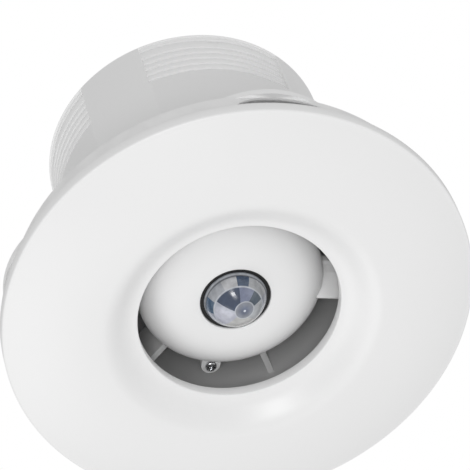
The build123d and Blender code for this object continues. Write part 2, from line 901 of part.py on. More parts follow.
def blade_profile(radius, pitch, chord):
    """Closed blade section on a plane square to the radius, pitched and cambered."""
    plane = Plane(origin=(radius, 0, impeller_middle), x_dir=(0, 1, 0), z_dir=(1, 0, 0))
    with BuildSketch(plane) as section:
        with BuildLine(mode=Mode.PRIVATE) as outline:
            ThreePointArc(
                (-chord / 2, 0), (0, blade_camber + blade_thickness / 2), (chord / 2, 0)
            )
            ThreePointArc(
                (-chord / 2, 0), (0, blade_camber - blade_thickness / 2), (chord / 2, 0)
            )
        make_face(outline.edges().sort_by(Axis.Y))
    return section.sketch.rotate(Axis((0, 0, impeller_middle), (1, 0, 0)), pitch)


blade_root = blade_profile(impeller_hub_radius - 0.9, hub_pitch, hub_chord)
blade_tip = blade_profile(body_inner, tip_pitch, tip_chord)

with BuildPart() as blade:
    loft(sections=[blade_root.faces()[0], blade_tip.faces()[0]])
    with BuildSketch(Plane.XY.offset(impeller_front)):
        Circle(tip_radius)
    extrude(amount=impeller_height, mode=Mode.INTERSECT)

with BuildPart() as impeller:
    with BuildSketch(Plane.XY.offset(impeller_front)):
        Circle(impeller_hub_radius)
    extrude(amount=impeller_height)
    fillet(impeller.edges().sort_by(Axis.Z)[-1], radius=1.2)
    with BuildSketch(Plane.XY.offset(impeller_front)):
        Circle(impeller_hub_radius - impeller_wall)
    extrude(amount=impeller_height - impeller_wall, mode=Mode.SUBTRACT)
    with BuildSketch(Plane.XY.offset(impeller_front + 2)):
        Circle(impeller_boss_radius)
    extrude(amount=impeller_height - 2)
    with PolarLocations(0, blade_count):
        add(blade.part)
    with BuildSketch(Plane.XY.offset(impeller_front)):
        Circle(shaft_radius + running_gap)
    extrude(amount=impeller_height, mode=Mode.SUBTRACT)

impeller.part.label = "impeller"
export_step(impeller.part, "parts/impeller.step")


# ---- Washer and nut that hold the impeller on the shaft ----
with BuildPart() as impeller_washer:
    with BuildSketch(Plane.XY.offset(impeller_back)):
        Circle(impeller_boss_radius - 0.5)
        Circle(shaft_radius + running_gap, mode=Mode.SUBTRACT)
    extrude(amount=washer_thickness)

impeller_washer.part.label = "impeller_washer"
export_step(impeller_washer.part, "parts/impeller_washer.step")

with BuildPart() as impeller_nut:
    with BuildSketch(Plane.XY.offset(impeller_back + washer_thickness)):
        RegularPolygon(nut_flats / 2, 6, major_radius=False)
        Circle(shaft_radius + running_gap, mode=Mode.SUBTRACT)
    extrude(amount=nut_height)

impeller_nut.part.label = "impeller_nut"
export_step(impeller_nut.part, "parts/impeller_nut.step")


# ---- Shutter frame: ring with a seat, a bar across it and hooks into the body ----
frame_radius = body_inner - seat_gap
frame_inner = frame_radius - shutter_wall
frame_z = body_length - shutter_height
seat_z = frame_z + seat_thickness
hinge_z = frame_z + hinge_height
barrel_radius = pin_radius + running_gap + barrel_wall
pin_end = frame_radius - 0.7

with BuildPart() as shutter_frame:
    with BuildSketch(Plane.XY.offset(frame_z)):
        Circle(frame_radius)
        Circle(frame_inner, mode=Mode.SUBTRACT)
    extrude(amount=shutter_height)
    with BuildSketch(Plane.XY.offset(frame_z)):
        Circle(frame_inner + 0.1)
        Circle(frame_inner - seat_width, mode=Mode.SUBTRACT)
        Rectangle(2 * frame_inner - 1, bar_width)
    extrude(amount=seat_thickness)
    # Lug in the middle of the bar that steadies both hinge pins.
    with BuildSketch(Plane.XY.offset(seat_z)):
        Rectangle(lug_width, 2 * (hinge_offset + pin_radius + 0.9))
    extrude(amount=hinge_z - seat_z + pin_radius + 0.8)
    with BuildSketch(Plane.YZ.offset(-frame_radius)):
        with Locations((hinge_offset, hinge_z), (-hinge_offset, hinge_z)):
            Circle(pin_radius + 0.02)
    extrude(amount=frame_radius + pin_end, mode=Mode.SUBTRACT)
    for angle in quarter_turns:
        with BuildSketch(radial_plane(angle, frame_radius - 0.3)):
            with Locations((0, window_z)):
                Rectangle(window_width - 0.6, window_height - 0.5)
        extrude(amount=0.3 + seat_gap + hook_bite)

shutter_frame.part.label = "shutter_frame"
export_step(shutter_frame.part, "parts/shutter_frame.step")


# ---- Hinge pins of the two flaps ----
with BuildPart() as flap_pins:
    with BuildSketch(Plane.YZ.offset(-pin_end)):
        with Locations((hinge_offset, hinge_z), (-hinge_offset, hinge_z)):
            Circle(pin_radius)
    extrude(amount=2 * pin_end - 0.2)

flap_pins.part.label = "flap_pins"
export_step(flap_pins.part, "parts/flap_pins.step")


# ---- Flaps: two half discs that lie closed on the seat and lift in the air stream ----
flap_radius = frame_inner - flap_clearance
flap_bottom = hinge_z - barrel_radius
barrel_end = sqrt(flap_radius**2 - (hinge_offset + barrel_radius) ** 2) - 0.5
barrel_start = lug_width / 2 + 0.5


def half_flap(side):
    """Half-disc flap on the +Y (side 1) or the -Y (side -1) half, with its hinge barrels."""
    with BuildPart() as flap:
        with BuildSketch(Plane.XY.offset(flap_bottom)):
            Circle(flap_radius)
            with Locations((0, side * (hinge_offset - flap_radius))):
                Rectangle(2 * flap_radius, 2 * flap_radius, mode=Mode.SUBTRACT)
            with Locations((0, side * hinge_offset)):
                Rectangle(2 * barrel_start, 6, mode=Mode.SUBTRACT)
        extrude(amount=flap_thickness)
        for end in (-1, 1):
            with BuildSketch(Plane.YZ.offset(end * barrel_start)):
                with Locations((side * hinge_offset, hinge_z)):
                    Circle(barrel_radius)
            extrude(amount=end * (barrel_end - barrel_start))
        # A shallow stiffening rib along the middle of the flap.
        with BuildSketch(Plane.XY.offset(flap_bottom + flap_thickness)):
            with Locations((0, side * (flap_radius + hinge_offset) * 0.55)):
                Rectangle(2, flap_radius * 0.6)
        extrude(amount=0.8)
        with BuildSketch(Plane.YZ.offset(-flap_radius)):
            with Locations((side * hinge_offset, hinge_z)):
                Circle(pin_radius + running_gap)
        extrude(amount=2 * flap_radius, mode=Mode.SUBTRACT)
    return flap.part


with BuildPart() as left_flap:
    add(half_flap(1))

left_flap.part.label = "left_flap"
export_step(left_flap.part, "parts/left_flap.step")

with BuildPart() as right_flap:
    add(half_flap(-1))

right_flap.part.label = "right_flap"
export_step(right_flap.part, "parts/right_flap.step")


# ---- Terminal block with three poles, and its screws ----
block_depth, block_length, block_height = block_size
pole_pitch = block_length / pole_count
pole_offsets = [(n - (pole_count - 1) / 2) * pole_pitch for n in range(pole_count)]
well_radius = 2.2
wire_hole_radius = 1.6
terminal_screw_height = 3.0

with BuildPart() as terminal_block:
    with BuildSketch(room_plane(block_angle, plate_z)):
        Rectangle(block_depth, block_length)
    extrude(amount=block_height)
    with BuildSketch(room_plane(block_angle, plate_z - 4.5)):
        with Locations([(1.5, offset) for offset in pole_offsets]):
            Circle(well_radius)
    extrude(amount=block_height, mode=Mode.SUBTRACT)
    # Wire entries run in from the inner side of the block.
    for offset in pole_offsets:
        entry = room_plane(block_angle, plate_z - 3)
        with BuildSketch(Plane(entry.from_local_coords((-block_depth, offset, 0)), z_dir=entry.x_dir)):
            Circle(wire_hole_radius)
        extrude(amount=block_depth, mode=Mode.SUBTRACT)

terminal_block.part.label = "terminal_block"
export_step(terminal_block.part, "parts/terminal_block.step")

with BuildPart() as terminal_screws:
    with BuildSketch(room_plane(block_angle, plate_z - 4.6)):
        with Locations([(1.5, offset) for offset in pole_offsets]):
            Circle(well_radius - 0.3)
    extrude(amount=terminal_screw_height)
    with BuildSketch(room_plane(block_angle, plate_z - 4.6 - terminal_screw_height)):
        with Locations([(1.5, offset) for offset in pole_offsets]):
            Rectangle(2 * well_radius, 0.7)
    extrude(amount=-1.0, mode=Mode.SUBTRACT)

terminal_screws.part.label = "terminal_screws"
export_step(terminal_screws.part, "parts/terminal_screws.step")


# ---- Cable grommet: soft bush in the base plate's cable entry ----
grommet_lip = 1.2

with BuildPart() as cable_grommet:
    with BuildSketch(room_plane(cable_angle, plate_z)):
        Circle(cable_hole_radius + 1.6)
        Circle(cable_bore_radius, mode=Mode.SUBTRACT)
    extrude(amount=grommet_lip)
    with BuildSketch(room_plane(cable_angle, 0)):
        Circle(cable_hole_radius - 0.05)
        Circle(cable_bore_radius, mode=Mode.SUBTRACT)
    extrude(amount=plate_thickness)

cable_grommet.part.label = "cable_grommet"
export_step(cable_grommet.part, "parts/cable_grommet.step")


# ---- Cable clamp bar and its screws ----
clamp_span = 11.0
clamp_gap = 4.0

with BuildPart() as cable_clamp:
    with BuildSketch(room_plane(clamp_angle, plate_z)):
        with Locations((clamp_span / 2, 0), (-clamp_span / 2, 0)):
            Rectangle(4.0, 4.0)
    extrude(amount=clamp_gap)
    with BuildSketch(room_plane(clamp_angle, plate_z - clamp_gap)):
        Rectangle(clamp_span + 4.0, 4.0)
    extrude(amount=2.0)
    with BuildSketch(room_plane(clamp_angle, plate_z)):
        with Locations((clamp_span / 2, 0), (-clamp_span / 2, 0)):
            Circle(small_screw_radius + screw_gap)
    extrude(amount=clamp_gap + 2.0, mode=Mode.SUBTRACT)

cable_clamp.part.label = "cable_clamp"
export_step(cable_clamp.part, "parts/cable_clamp.step")

clamp_screw = pan_head_screw(small_screw_radius, clamp_gap + 2.0 - 0.2)
clamp_top = room_plane(clamp_angle, plate_z - clamp_gap - 2.0)

with BuildPart(Plane(clamp_top.origin, x_dir=clamp_top.x_dir, z_dir=(0, 0, 1))) as clamp_screws:
    with Locations((clamp_span / 2, 0), (-clamp_span / 2, 0)):
        add(clamp_screw)

clamp_screws.part.label = "clamp_screws"
export_step(clamp_screws.part, "parts/clamp_screws.step")


# ---- Control board with relay, capacitor, timer chip and two adjusters ----
board_depth, board_length = board_size
board_z = plate_z - standoff_height
board_room_z = board_z - board_thickness
relay_size = (7.5, 12.0, 7.0)
capacitor_radius = 3.6
capacitor_height = 7.5
chip_size = (4.0, 9.0, 1.5)
trimmer_side = 6.5
trimmer_height = 3.0
trimmer_rotor_radius = 2.1
trimmer_rotor_height = 1.4
trimmer_places = ((0.5, 3.6), (0.5, -3.6))
relay_place = -11.6
capacitor_place = 11.2
chip_place = -5.1

with BuildPart() as control_board:
    with BuildSketch(room_plane(board_angle, board_z)):
        Rectangle(board_depth, board_length)
        with Locations((0, board_length / 2 - 3), (0, 3 - board_length / 2)):
            Circle(small_screw_radius + screw_gap, mode=Mode.SUBTRACT)
    extrude(amount=board_thickness)

control_board.part.label = "control_board"
export_step(control_board.part, "parts/control_board.step")

with BuildPart() as relay:
    with BuildSketch(room_plane(board_angle, board_room_z)):
        with Locations((0, relay_place)):
            Rectangle(relay_size[1], relay_size[0])
    extrude(amount=relay_size[2])
    chamfer(relay.edges().filter_by(Axis.Z), length=0.4)

relay.part.label = "relay"
export_step(relay.part, "parts/relay.step")

with BuildPart() as supply_capacitor:
    with BuildSketch(room_plane(board_angle, board_room_z)):
        with Locations((0, capacitor_place)):
            Circle(capacitor_radius)
    extrude(amount=capacitor_height)
    fillet(supply_capacitor.edges().sort_by(Axis.Z)[0], radius=0.5)

supply_capacitor.part.label = "supply_capacitor"
export_step(supply_capacitor.part, "parts/supply_capacitor.step")

with BuildPart() as timer_chip:
    with BuildSketch(room_plane(board_angle, board_room_z)):
        with Locations((chip_place, 0)):
            Rectangle(chip_size[0], chip_size[1])
    extrude(amount=chip_size[2])

timer_chip.part.label = "timer_chip"
export_step(timer_chip.part, "parts/timer_chip.step")


# ---- Adjusters: square bodies on the board, each with a slotted wheel on top ----
with BuildPart() as trimmer_bodies:
    with BuildSketch(room_plane(board_angle, board_room_z)):
        with Locations(*trimmer_places):
            Rectangle(trimmer_side, trimmer_side)
    extrude(amount=trimmer_height)
    with BuildSketch(room_plane(board_angle, board_room_z - trimmer_height)):
        with Locations(*trimmer_places):
            Circle(trimmer_rotor_radius + 0.08)
    extrude(amount=-1.2, mode=Mode.SUBTRACT)

trimmer_bodies.part.label = "trimmer_bodies"
export_step(trimmer_bodies.part, "parts/trimmer_bodies.step")


def trimmer_wheel(place):
    """Slotted adjuster wheel that stands in its body's round recess."""
    with BuildPart() as wheel:
        with BuildSketch(room_plane(board_angle, board_room_z - trimmer_height + 1.1)):
            with Locations(place):
                Circle(trimmer_rotor_radius)
        extrude(amount=1.1 + trimmer_rotor_height)
        slot_z = board_room_z - trimmer_height - trimmer_rotor_height
        with BuildSketch(room_plane(board_angle, slot_z)):
            with Locations(place):
                Rectangle(2 * trimmer_rotor_radius + 1, 0.7)
        extrude(amount=-0.9, mode=Mode.SUBTRACT)
    return wheel.part


with BuildPart() as run_on_adjuster:
    add(trimmer_wheel(trimmer_places[0]))

run_on_adjuster.part.label = "run_on_adjuster"
export_step(run_on_adjuster.part, "parts/run_on_adjuster.step")

with BuildPart() as range_adjuster:
    add(trimmer_wheel(trimmer_places[1]))

range_adjuster.part.label = "range_adjuster"
export_step(range_adjuster.part, "parts/range_adjuster.step")


# ---- Screws of the control board ----
board_screw = pan_head_screw(small_screw_radius, board_thickness + standoff_height - 0.4)
board_face = room_plane(board_angle, board_room_z)

with BuildPart(Plane(board_face.origin, x_dir=board_face.x_dir, z_dir=(0, 0, 1))) as board_screws:
    with Locations((0, board_length / 2 - 3), (0, 3 - board_length / 2)):
        add(board_screw)

board_screws.part.label = "board_screws"
export_step(board_screws.part, "parts/board_screws.step")
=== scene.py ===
import math

import bpy
from mathutils import Matrix, Vector


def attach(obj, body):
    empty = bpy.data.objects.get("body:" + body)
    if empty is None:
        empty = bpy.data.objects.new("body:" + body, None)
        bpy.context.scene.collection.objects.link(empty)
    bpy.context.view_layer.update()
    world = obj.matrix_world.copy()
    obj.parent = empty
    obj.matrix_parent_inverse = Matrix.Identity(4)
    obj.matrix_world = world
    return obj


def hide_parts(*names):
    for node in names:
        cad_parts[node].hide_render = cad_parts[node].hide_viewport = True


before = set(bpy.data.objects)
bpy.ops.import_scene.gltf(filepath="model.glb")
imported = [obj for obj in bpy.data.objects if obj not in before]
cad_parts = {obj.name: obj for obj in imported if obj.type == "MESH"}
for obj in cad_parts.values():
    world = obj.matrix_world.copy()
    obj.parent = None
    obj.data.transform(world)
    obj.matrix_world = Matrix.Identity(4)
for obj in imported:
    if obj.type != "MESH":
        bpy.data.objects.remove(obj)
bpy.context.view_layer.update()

# ---------------------------------------------------------------------------
# Camera. It looks up at the ceiling from below and to one side, along a line
# that passes close to the fan's centre, with the picture turned a little.
# ---------------------------------------------------------------------------
camera_place = Vector((-0.3026, -0.6329, -0.9072))
camera_sight = Vector((0.2630, 0.5404, 0.7992))
camera_upward = Vector((-0.0366, -0.8222, 0.5680))

camera_data = bpy.data.cameras.new("studio_camera")
camera_data.lens = 261.0
camera_data.sensor_width = 36.0
camera_data.shift_x = 0.0117
camera_data.shift_y = 0.0039
camera_data.clip_start = 0.05
camera_data.clip_end = 50.0
camera = bpy.data.objects.new("studio_camera", camera_data)
bpy.context.scene.collection.objects.link(camera)
camera_side = camera_sight.cross(camera_upward).normalized()
camera_top = camera_side.cross(camera_sight).normalized()
camera_back = -camera_sight.normalized()
camera.matrix_world = Matrix.LocRotScale(
    camera_place,
    Matrix((camera_side, camera_top, camera_back)).transposed(),
    None,
)
bpy.context.scene.camera = camera


# ---------------------------------------------------------------------------
# Room. A pale floor a ceiling's height below the fan, white surroundings and
# large soft lamps, the brightest from below, as a bathroom's floor throws it.
# ---------------------------------------------------------------------------
def linear(hex_colour):
    """Turns an sRGB hex colour such as 'F2F2F0' into linear RGBA."""
    channels = [int(hex_colour[n : n + 2], 16) / 255 for n in (0, 2, 4)]
    return tuple(c / 12.92 if c <= 0.04045 else ((c + 0.055) / 1.055) ** 2.4 for c in channels) + (
        1.0,
    )


def add_node(tree, kind, inputs=None, **settings):
    """Adds a node, sets its properties, and sets or links its inputs by name or number."""
    node = tree.nodes.new(kind)
    for key, value in settings.items():
        setattr(node, key, value)
    for key, value in (inputs or {}).items():
        if isinstance(value, bpy.types.NodeSocket):
            tree.links.new(value, node.inputs[key])
        else:
            node.inputs[key].default_value = value
    return node


scene = bpy.context.scene
scene.view_settings.view_transform = "Standard"
scene.view_settings.look = "None"
world = bpy.data.worlds.new("white_surroundings")
world.use_nodes = True
scene.world = world
sky = world.node_tree
sky.nodes.clear()
soft_white = add_node(sky, "ShaderNodeBackground", {"Color": linear("FFFFFF"), "Strength": 0.60})
seen_white = add_node(sky, "ShaderNodeBackground", {"Color": linear("FFFFFF"), "Strength": 1.0})
ray_kind = add_node(sky, "ShaderNodeLightPath")
sky_mix = add_node(
    sky,
    "ShaderNodeMixShader",
    {0: ray_kind.outputs["Is Camera Ray"], 1: soft_white.outputs[0], 2: seen_white.outputs[0]},
)
add_node(sky, "ShaderNodeOutputWorld", {"Surface": sky_mix.outputs[0]})


def add_lamp(name, place, size, power):
    """Adds a square soft lamp that faces the fan's centre."""
    lamp_data = bpy.data.lights.new(name, "AREA")
    lamp_data.size = size
    lamp_data.energy = power
    lamp = bpy.data.objects.new(name, lamp_data)
    lamp.location = place
    lamp.rotation_mode = "QUATERNION"
    lamp.rotation_quaternion = (-Vector(place)).to_track_quat("-Z", "Y")
    scene.collection.objects.link(lamp)


add_lamp("key_lamp", (-0.7, 1.2, -1.2), 1.4, 8.0)
add_lamp("fill_lamp", (1.1, -0.7, -0.7), 1.2, 2.0)
add_lamp("front_lamp", (-0.34, -0.60, -0.98), 0.25, 3.5)

floor_depth = 2.4
bpy.ops.object.select_all(action="DESELECT")
bpy.ops.mesh.primitive_plane_add(size=14.0, location=(0, 0, -floor_depth))
floor = bpy.context.object
floor.name = "floor"
floor_paint = bpy.data.materials.new("pale_floor_paint")
floor_paint.use_nodes = True
floor_paint.node_tree.nodes["Principled BSDF"].inputs["Base Color"].default_value = linear("F4F4F4")
floor_paint.node_tree.nodes["Principled BSDF"].inputs["Roughness"].default_value = 0.8
floor.data.materials.append(floor_paint)


# ---------------------------------------------------------------------------
# Base flange. White ABS moulding that is screwed to the ceiling: a plate with a
# conical wall, four finger notches with closed pockets, lobes and peg sockets.
# ---------------------------------------------------------------------------
def deselect():
    bpy.ops.object.select_all(action="DESELECT")


def pick(piece):
    """Makes one piece the only selected and active one."""
    deselect()
    piece.select_set(True)
    bpy.context.view_layer.objects.active = piece


def turned(name, outline, segments=256):
    """Turns an outline of (radius, height) points round Z by extruding one ring."""
    deselect()
    radius, height = outline[0]
    bpy.ops.mesh.primitive_circle_add(vertices=segments, radius=radius)
    piece = bpy.context.object
    piece.name = name
    bpy.ops.object.mode_set(mode="EDIT")
    bpy.ops.transform.translate(value=(0, 0, height))
    for next_radius, next_height in outline[1:]:
        bpy.ops.mesh.extrude_edges_move(
            TRANSFORM_OT_translate={"value": (0, 0, next_height - height)}
        )
        if next_radius == 0:
            bpy.ops.mesh.merge(type="CENTER")
        elif next_radius != radius:
            grow = next_radius / radius
            bpy.ops.transform.resize(
                value=(grow, grow, 1), center_override=(0, 0, next_height)
            )
        radius, height = next_radius, next_height
    bpy.ops.mesh.select_all(action="SELECT")
    bpy.ops.mesh.remove_doubles(threshold=1e-6)
    bpy.ops.mesh.normals_make_consistent(inside=False)
    bpy.ops.object.mode_set(mode="OBJECT")
    return piece


def settle(piece):
    """Writes a piece's place, turn and size into its mesh."""
    pick(piece)
    bpy.ops.object.transform_apply(location=True, rotation=True, scale=True)
    return piece


def round_bar(name, place, radius, bottom, top, segments=48):
    """Upright round bar, closed at both ends, standing at a place in the plan."""
    deselect()
    bpy.ops.mesh.primitive_cylinder_add(
        vertices=segments,
        radius=radius,
        depth=top - bottom,
        location=(place[0], place[1], (bottom + top) / 2),
    )
    bar = bpy.context.object
    bar.name = name
    return settle(bar)


def block(name, low, high, turn=0):
    """Box between two corners, then turned round Z by an angle in degrees."""
    deselect()
    middle = Vector([(a + b) / 2 for a, b in zip(low, high)])
    bpy.ops.mesh.primitive_cube_add(size=1, location=middle)
    box = bpy.context.object
    box.name = name
    box.scale = [b - a for a, b in zip(low, high)]
    settle(box)
    box.rotation_euler = (0, 0, math.radians(turn))
    return settle(box)


def around(radius, degrees):
    """Place in the plan at a radius and an angle."""
    return (radius * math.cos(math.radians(degrees)), radius * math.sin(math.radians(degrees)))


def combine(piece, others, operation):
    """Joins, cuts or keeps a piece against others that don't touch each other."""
    pick(others[0])
    for other in others[1:]:
        other.select_set(True)
    if len(others) > 1:
        bpy.ops.object.join()
    tool = others[0]
    pick(piece)
    step = piece.modifiers.new("combine", "BOOLEAN")
    step.operation = operation
    step.solver = "EXACT"
    step.object = tool
    bpy.ops.object.modifier_apply(modifier=step.name)
    bpy.data.objects.remove(tool)


def finish_edges(piece, width, angle=35, segments=3):
    """Rounds the sharp edges by a small width and shades the rest smooth."""
    pick(piece)
    bpy.ops.object.mode_set(mode="EDIT")
    bpy.ops.mesh.select_all(action="SELECT")
    bpy.ops.mesh.remove_doubles(threshold=2e-6)
    bpy.ops.mesh.dissolve_degenerate(threshold=1e-6)
    bpy.ops.object.mode_set(mode="OBJECT")
    if width:
        bevel = piece.modifiers.new("edge_round", "BEVEL")
        bevel.width = width
        bevel.segments = segments
        bevel.limit_method = "ANGLE"
        bevel.angle_limit = math.radians(angle)
        bevel.harden_normals = False
        bpy.ops.object.modifier_apply(modifier=bevel.name)
    bpy.ops.object.shade_smooth_by_angle(angle=math.radians(angle))


def moulded_plastic(name, colour, roughness, grain_mm=0.35, grain_depth=0.012, mottle=0.015):
    """Plastic from a lightly spark-eroded mould: even colour, fine grain, soft broad gloss."""
    material = bpy.data.materials.new(name)
    material.use_nodes = True
    tree = material.node_tree
    shader = tree.nodes["Principled BSDF"]
    place = add_node(tree, "ShaderNodeTexCoord").outputs["Object"]
    flow = add_node(tree, "ShaderNodeTexNoise", {"Vector": place, "Scale": 30.0, "Detail": 3.0})
    dark = tuple(c * (1 - mottle) for c in linear(colour)[:3]) + (1.0,)
    tint = add_node(
        tree,
        "ShaderNodeMix",
        {0: flow.outputs["Fac"], 6: dark, 7: linear(colour)},
        data_type="RGBA",
    )
    tree.links.new(tint.outputs[2], shader.inputs["Base Color"])
    grain = add_node(
        tree,
        "ShaderNodeTexNoise",
        {"Vector": place, "Scale": 1000.0 / grain_mm, "Detail": 2.0},
    )
    bump = add_node(
        tree,
        "ShaderNodeBump",
        {"Height": grain.outputs["Fac"], "Strength": 0.25, "Distance": grain_depth / 1000},
    )
    tree.links.new(bump.outputs[0], shader.inputs["Normal"])
    gloss = add_node(
        tree,
        "ShaderNodeMapRange",
        {0: flow.outputs["Fac"], 3: roughness - 0.03, 4: roughness + 0.03},
    )
    tree.links.new(gloss.outputs[0], shader.inputs["Roughness"])
    shader.inputs["IOR"].default_value = 1.54
    return material


def dress(piece, material, body, slot, *nodes):
    """Gives a piece its material, its body and the CAD nodes it stands for; the slot argument is not
    used.
    """
    piece.data.materials.clear()
    piece.data.materials.append(material)
    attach(piece, body)
    if nodes:
        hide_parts(*nodes)


quarters = (0, 90, 180, 270)
peg_angle = 72
fixing_angle = 18
screw_angle = 45
cable_angle = 30
board_angle = 135
base_radius = 0.0753
base_wall = 0.0020
plate_back = -0.0025
base_front = -0.0115
base_front_radius = 0.0795
body_hole = 0.0506
cavity_radius = 0.0639
lobe_radius = 0.0320
lobe_reach = 0.0025
notch_radius = 0.0170
pocket_back = 0.0673
pocket_wall = 0.0014
pocket_inset = 0.0002
finger_end = 0.0853
socket_ring = 0.0600
socket_bore = 0.00258
socket_outer = 0.00438
socket_front = -0.0110
socket_depth = 0.0070
body_screw_circle = 0.0519
body_screw_hole = 0.00155
small_screw_hole = 0.00115
fixing_hole = 0.00225
cable_hole = 0.0050
standoff_radius = 0.0024
standoff_height = 0.0040
standoff_reach = 0.0180
standoff_drill = (-0.0075, -0.0030)
plate_drill = -0.0040
deep = 0.0010
weld = 0.00001

# ABS, moulded: white, a little less glossy than the fascia, since nobody polishes what hides.
base_abs = moulded_plastic("white_base_abs", "F2F2F2", 0.45)

base_ring = turned(
    "base_ring",
    [
        (body_hole, 0),
        (base_radius, 0),
        (base_front_radius, base_front),
        (base_front_radius - base_wall, base_front),
        (base_radius - base_wall, plate_back),
        (body_hole, plate_back),
        (body_hole, 0),
    ],
)
for quarter in quarters:
    lobe_place = around(base_radius + lobe_reach - lobe_radius, quarter)
    lobe = round_bar("lobe", lobe_place, lobe_radius, plate_back, 0, 256)
    combine(lobe, [round_bar("core", (0, 0), cavity_radius, -deep * 5, deep, 128)], "DIFFERENCE")
    combine(base_ring, [lobe], "UNION")


def finger_bar(name, radius, start, quarter):
    """Level round bar along a radius, centred below the plate where a finger goes in."""
    bar = round_bar(name, (0, 0), radius, start, finger_end, 160)
    bar.rotation_euler = (0, math.radians(90), 0)
    settle(bar)
    bar.location = (0, 0, plate_back - notch_radius)
    settle(bar)
    bar.rotation_euler = (0, 0, math.radians(quarter))
    return settle(bar)


pockets = turned(
    "pockets",
    [
        (socket_ring, plate_back + deep),
        (base_radius, plate_back + deep),
        (base_radius, plate_back),
        (base_front_radius - pocket_inset, base_front),
        (socket_ring, base_front),
        (socket_ring, plate_back + deep),
    ],
)
shells = [finger_bar("shell", notch_radius + pocket_wall, pocket_back, q) for q in quarters]
combine(pockets, shells, "INTERSECT")
for notched in (pockets, base_ring):
    notches = [finger_bar("notch", notch_radius, pocket_back + pocket_wall, q) for q in quarters]
    combine(notched, notches, "DIFFERENCE")
pick(base_ring)
pockets.select_set(True)
bpy.ops.object.join()
peg_places = [around(cavity_radius, peg_angle + q) for q in quarters]
posts = [
    round_bar("socket", place, socket_outer, socket_front, plate_back - weld)
    for place in peg_places
]
standoff_places = [
    tuple(a + b for a, b in zip(around(cavity_radius, board_angle), around(reach, board_angle - 90)))
    for reach in (-standoff_reach, standoff_reach)
]
posts += [
    round_bar("standoff", place, standoff_radius, plate_back - standoff_height, plate_back - weld)
    for place in standoff_places
]
# Each post is lifted a hair into the plate, so that the two share no face.
for post in posts:
    post.location = (0, 0, 2 * weld)
    settle(post)
combine(base_ring, posts, "UNION")
holes = [
    round_bar("bore", place, socket_bore, socket_front - deep, socket_front + socket_depth)
    for place in peg_places
]
holes += [
    round_bar("hole", around(cavity_radius, fixing_angle + q), fixing_hole, plate_drill, deep)
    for q in quarters
]
screw_places = [around(body_screw_circle, screw_angle + q) for q in quarters]
holes += [round_bar("hole", place, body_screw_hole, plate_drill, deep) for place in screw_places]
holes += [
    round_bar("hole", around(cavity_radius, cable_angle), cable_hole, plate_drill, deep, 64)
]
holes += [
    round_bar("hole", place, small_screw_hole, *standoff_drill) for place in standoff_places
]
combine(base_ring, holes, "DIFFERENCE")
finish_edges(base_ring, 0.00025, segments=3)
dress(base_ring, base_abs, "housing", "base_white", "base_flange")


# ---------------------------------------------------------------------------
# Duct body. White ABS tube for a 100 mm duct with a clamping flange. Four sunk
# patches carry barbed ribs that grip a flexible duct, with a slot over each.
# ---------------------------------------------------------------------------
body_radius = 0.0492
body_inner = 0.0468
body_length = 0.0812
flange_radius = 0.0545
flange_front = -0.0047
collar_radius = 0.0504
mouth_chamfer = 0.0006
patch_radius = 0.04865
groove_radius = 0.04785
groove_height = 0.0011
groove_lead = 0.00045
groove_count = 5
groove_pitch = 0.00344
top_groove_drop = 0.0023
next_groove_drop = 0.0071
groove_tops = [body_length - top_groove_drop]
groove_tops += [body_length - next_groove_drop - n * groove_pitch for n in range(groove_count)]
patch_bottom = groove_tops[-1] - 0.0025
patch_top = body_length - 0.0009
patch_sweep = 61
window_half = 0.0020
window_low = body_length - 0.0047
window_high = body_length - 0.0035

body_tube = turned(
    "body_tube",
    [
        (body_inner, flange_front),
        (flange_radius, flange_front),
        (flange_radius, plate_back),
        (collar_radius, plate_back),
        (collar_radius, 0),
        (body_radius, 0),
        (body_radius, body_length - mouth_chamfer),
        (body_radius - mouth_chamfer, body_length),
        (body_inner, body_length),
        (body_inner, flange_front),
    ],
)
rib_outline = [(body_radius + deep, patch_bottom), (patch_radius, patch_bottom)]
for top in reversed(groove_tops):
    rib_outline.append((patch_radius, top - groove_height - groove_lead))
    rib_outline.append((groove_radius, top - groove_height))
    rib_outline.append((groove_radius, top))
    rib_outline.append((patch_radius, top))
rib_outline += [(patch_radius, patch_top), (body_radius + deep, patch_top), rib_outline[0]]
patches = []
for quarter in quarters:
    patch = turned("patch", rib_outline)
    bpy.ops.object.mode_set(mode="EDIT")
    for edge, keep_side in ((-patch_sweep / 2, -1), (patch_sweep / 2, 1)):
        bpy.ops.mesh.select_all(action="SELECT")
        side_turn = math.radians(quarter + edge + 90)
        bpy.ops.mesh.bisect(
            plane_co=(0, 0, 0),
            plane_no=(keep_side * math.cos(side_turn), keep_side * math.sin(side_turn), 0),
            use_fill=True,
            clear_outer=True,
        )
    bpy.ops.mesh.select_all(action="SELECT")
    bpy.ops.mesh.normals_make_consistent(inside=False)
    bpy.ops.object.mode_set(mode="OBJECT")
    patches.append(patch)
combine(body_tube, patches, "DIFFERENCE")
openings = [
    block(
        "window",
        (body_inner - deep, -window_half, window_low),
        (body_radius + deep, window_half, window_high),
        quarter,
    )
    for quarter in quarters
]
openings += [round_bar("hole", place, body_screw_hole, -0.006, -0.001) for place in screw_places]
combine(body_tube, openings, "DIFFERENCE")
finish_edges(body_tube, 0.00012, segments=2, angle=30)
dress(body_tube, base_abs, "housing", "body_white", "duct_body")


# ---------------------------------------------------------------------------
# Stator carrier. Grey ABS moulding clamped under the body's flange: a ring, a
# cup for the motor, and six vanes between them that straighten the air.
# ---------------------------------------------------------------------------
carrier_front = -0.0067
ring_outer = 0.0466
ring_inner = 0.0454
ring_top = 0.0240
hub_radius = 0.0310
hub_inner = 0.0292
hub_front = 0.0045
hub_top = 0.0310
hub_back = 0.0290
boss_circle = 0.0356
boss_radius = 0.0033
boss_end = 0.0145
bearing_hole = 0.0079
vane_count = 6
vane_half = 0.0010
vane_end = 0.0205
vane_sink = 0.0004
room_half = 0.0077
room_end = 0.0087
motor_screw_circle = 0.0162

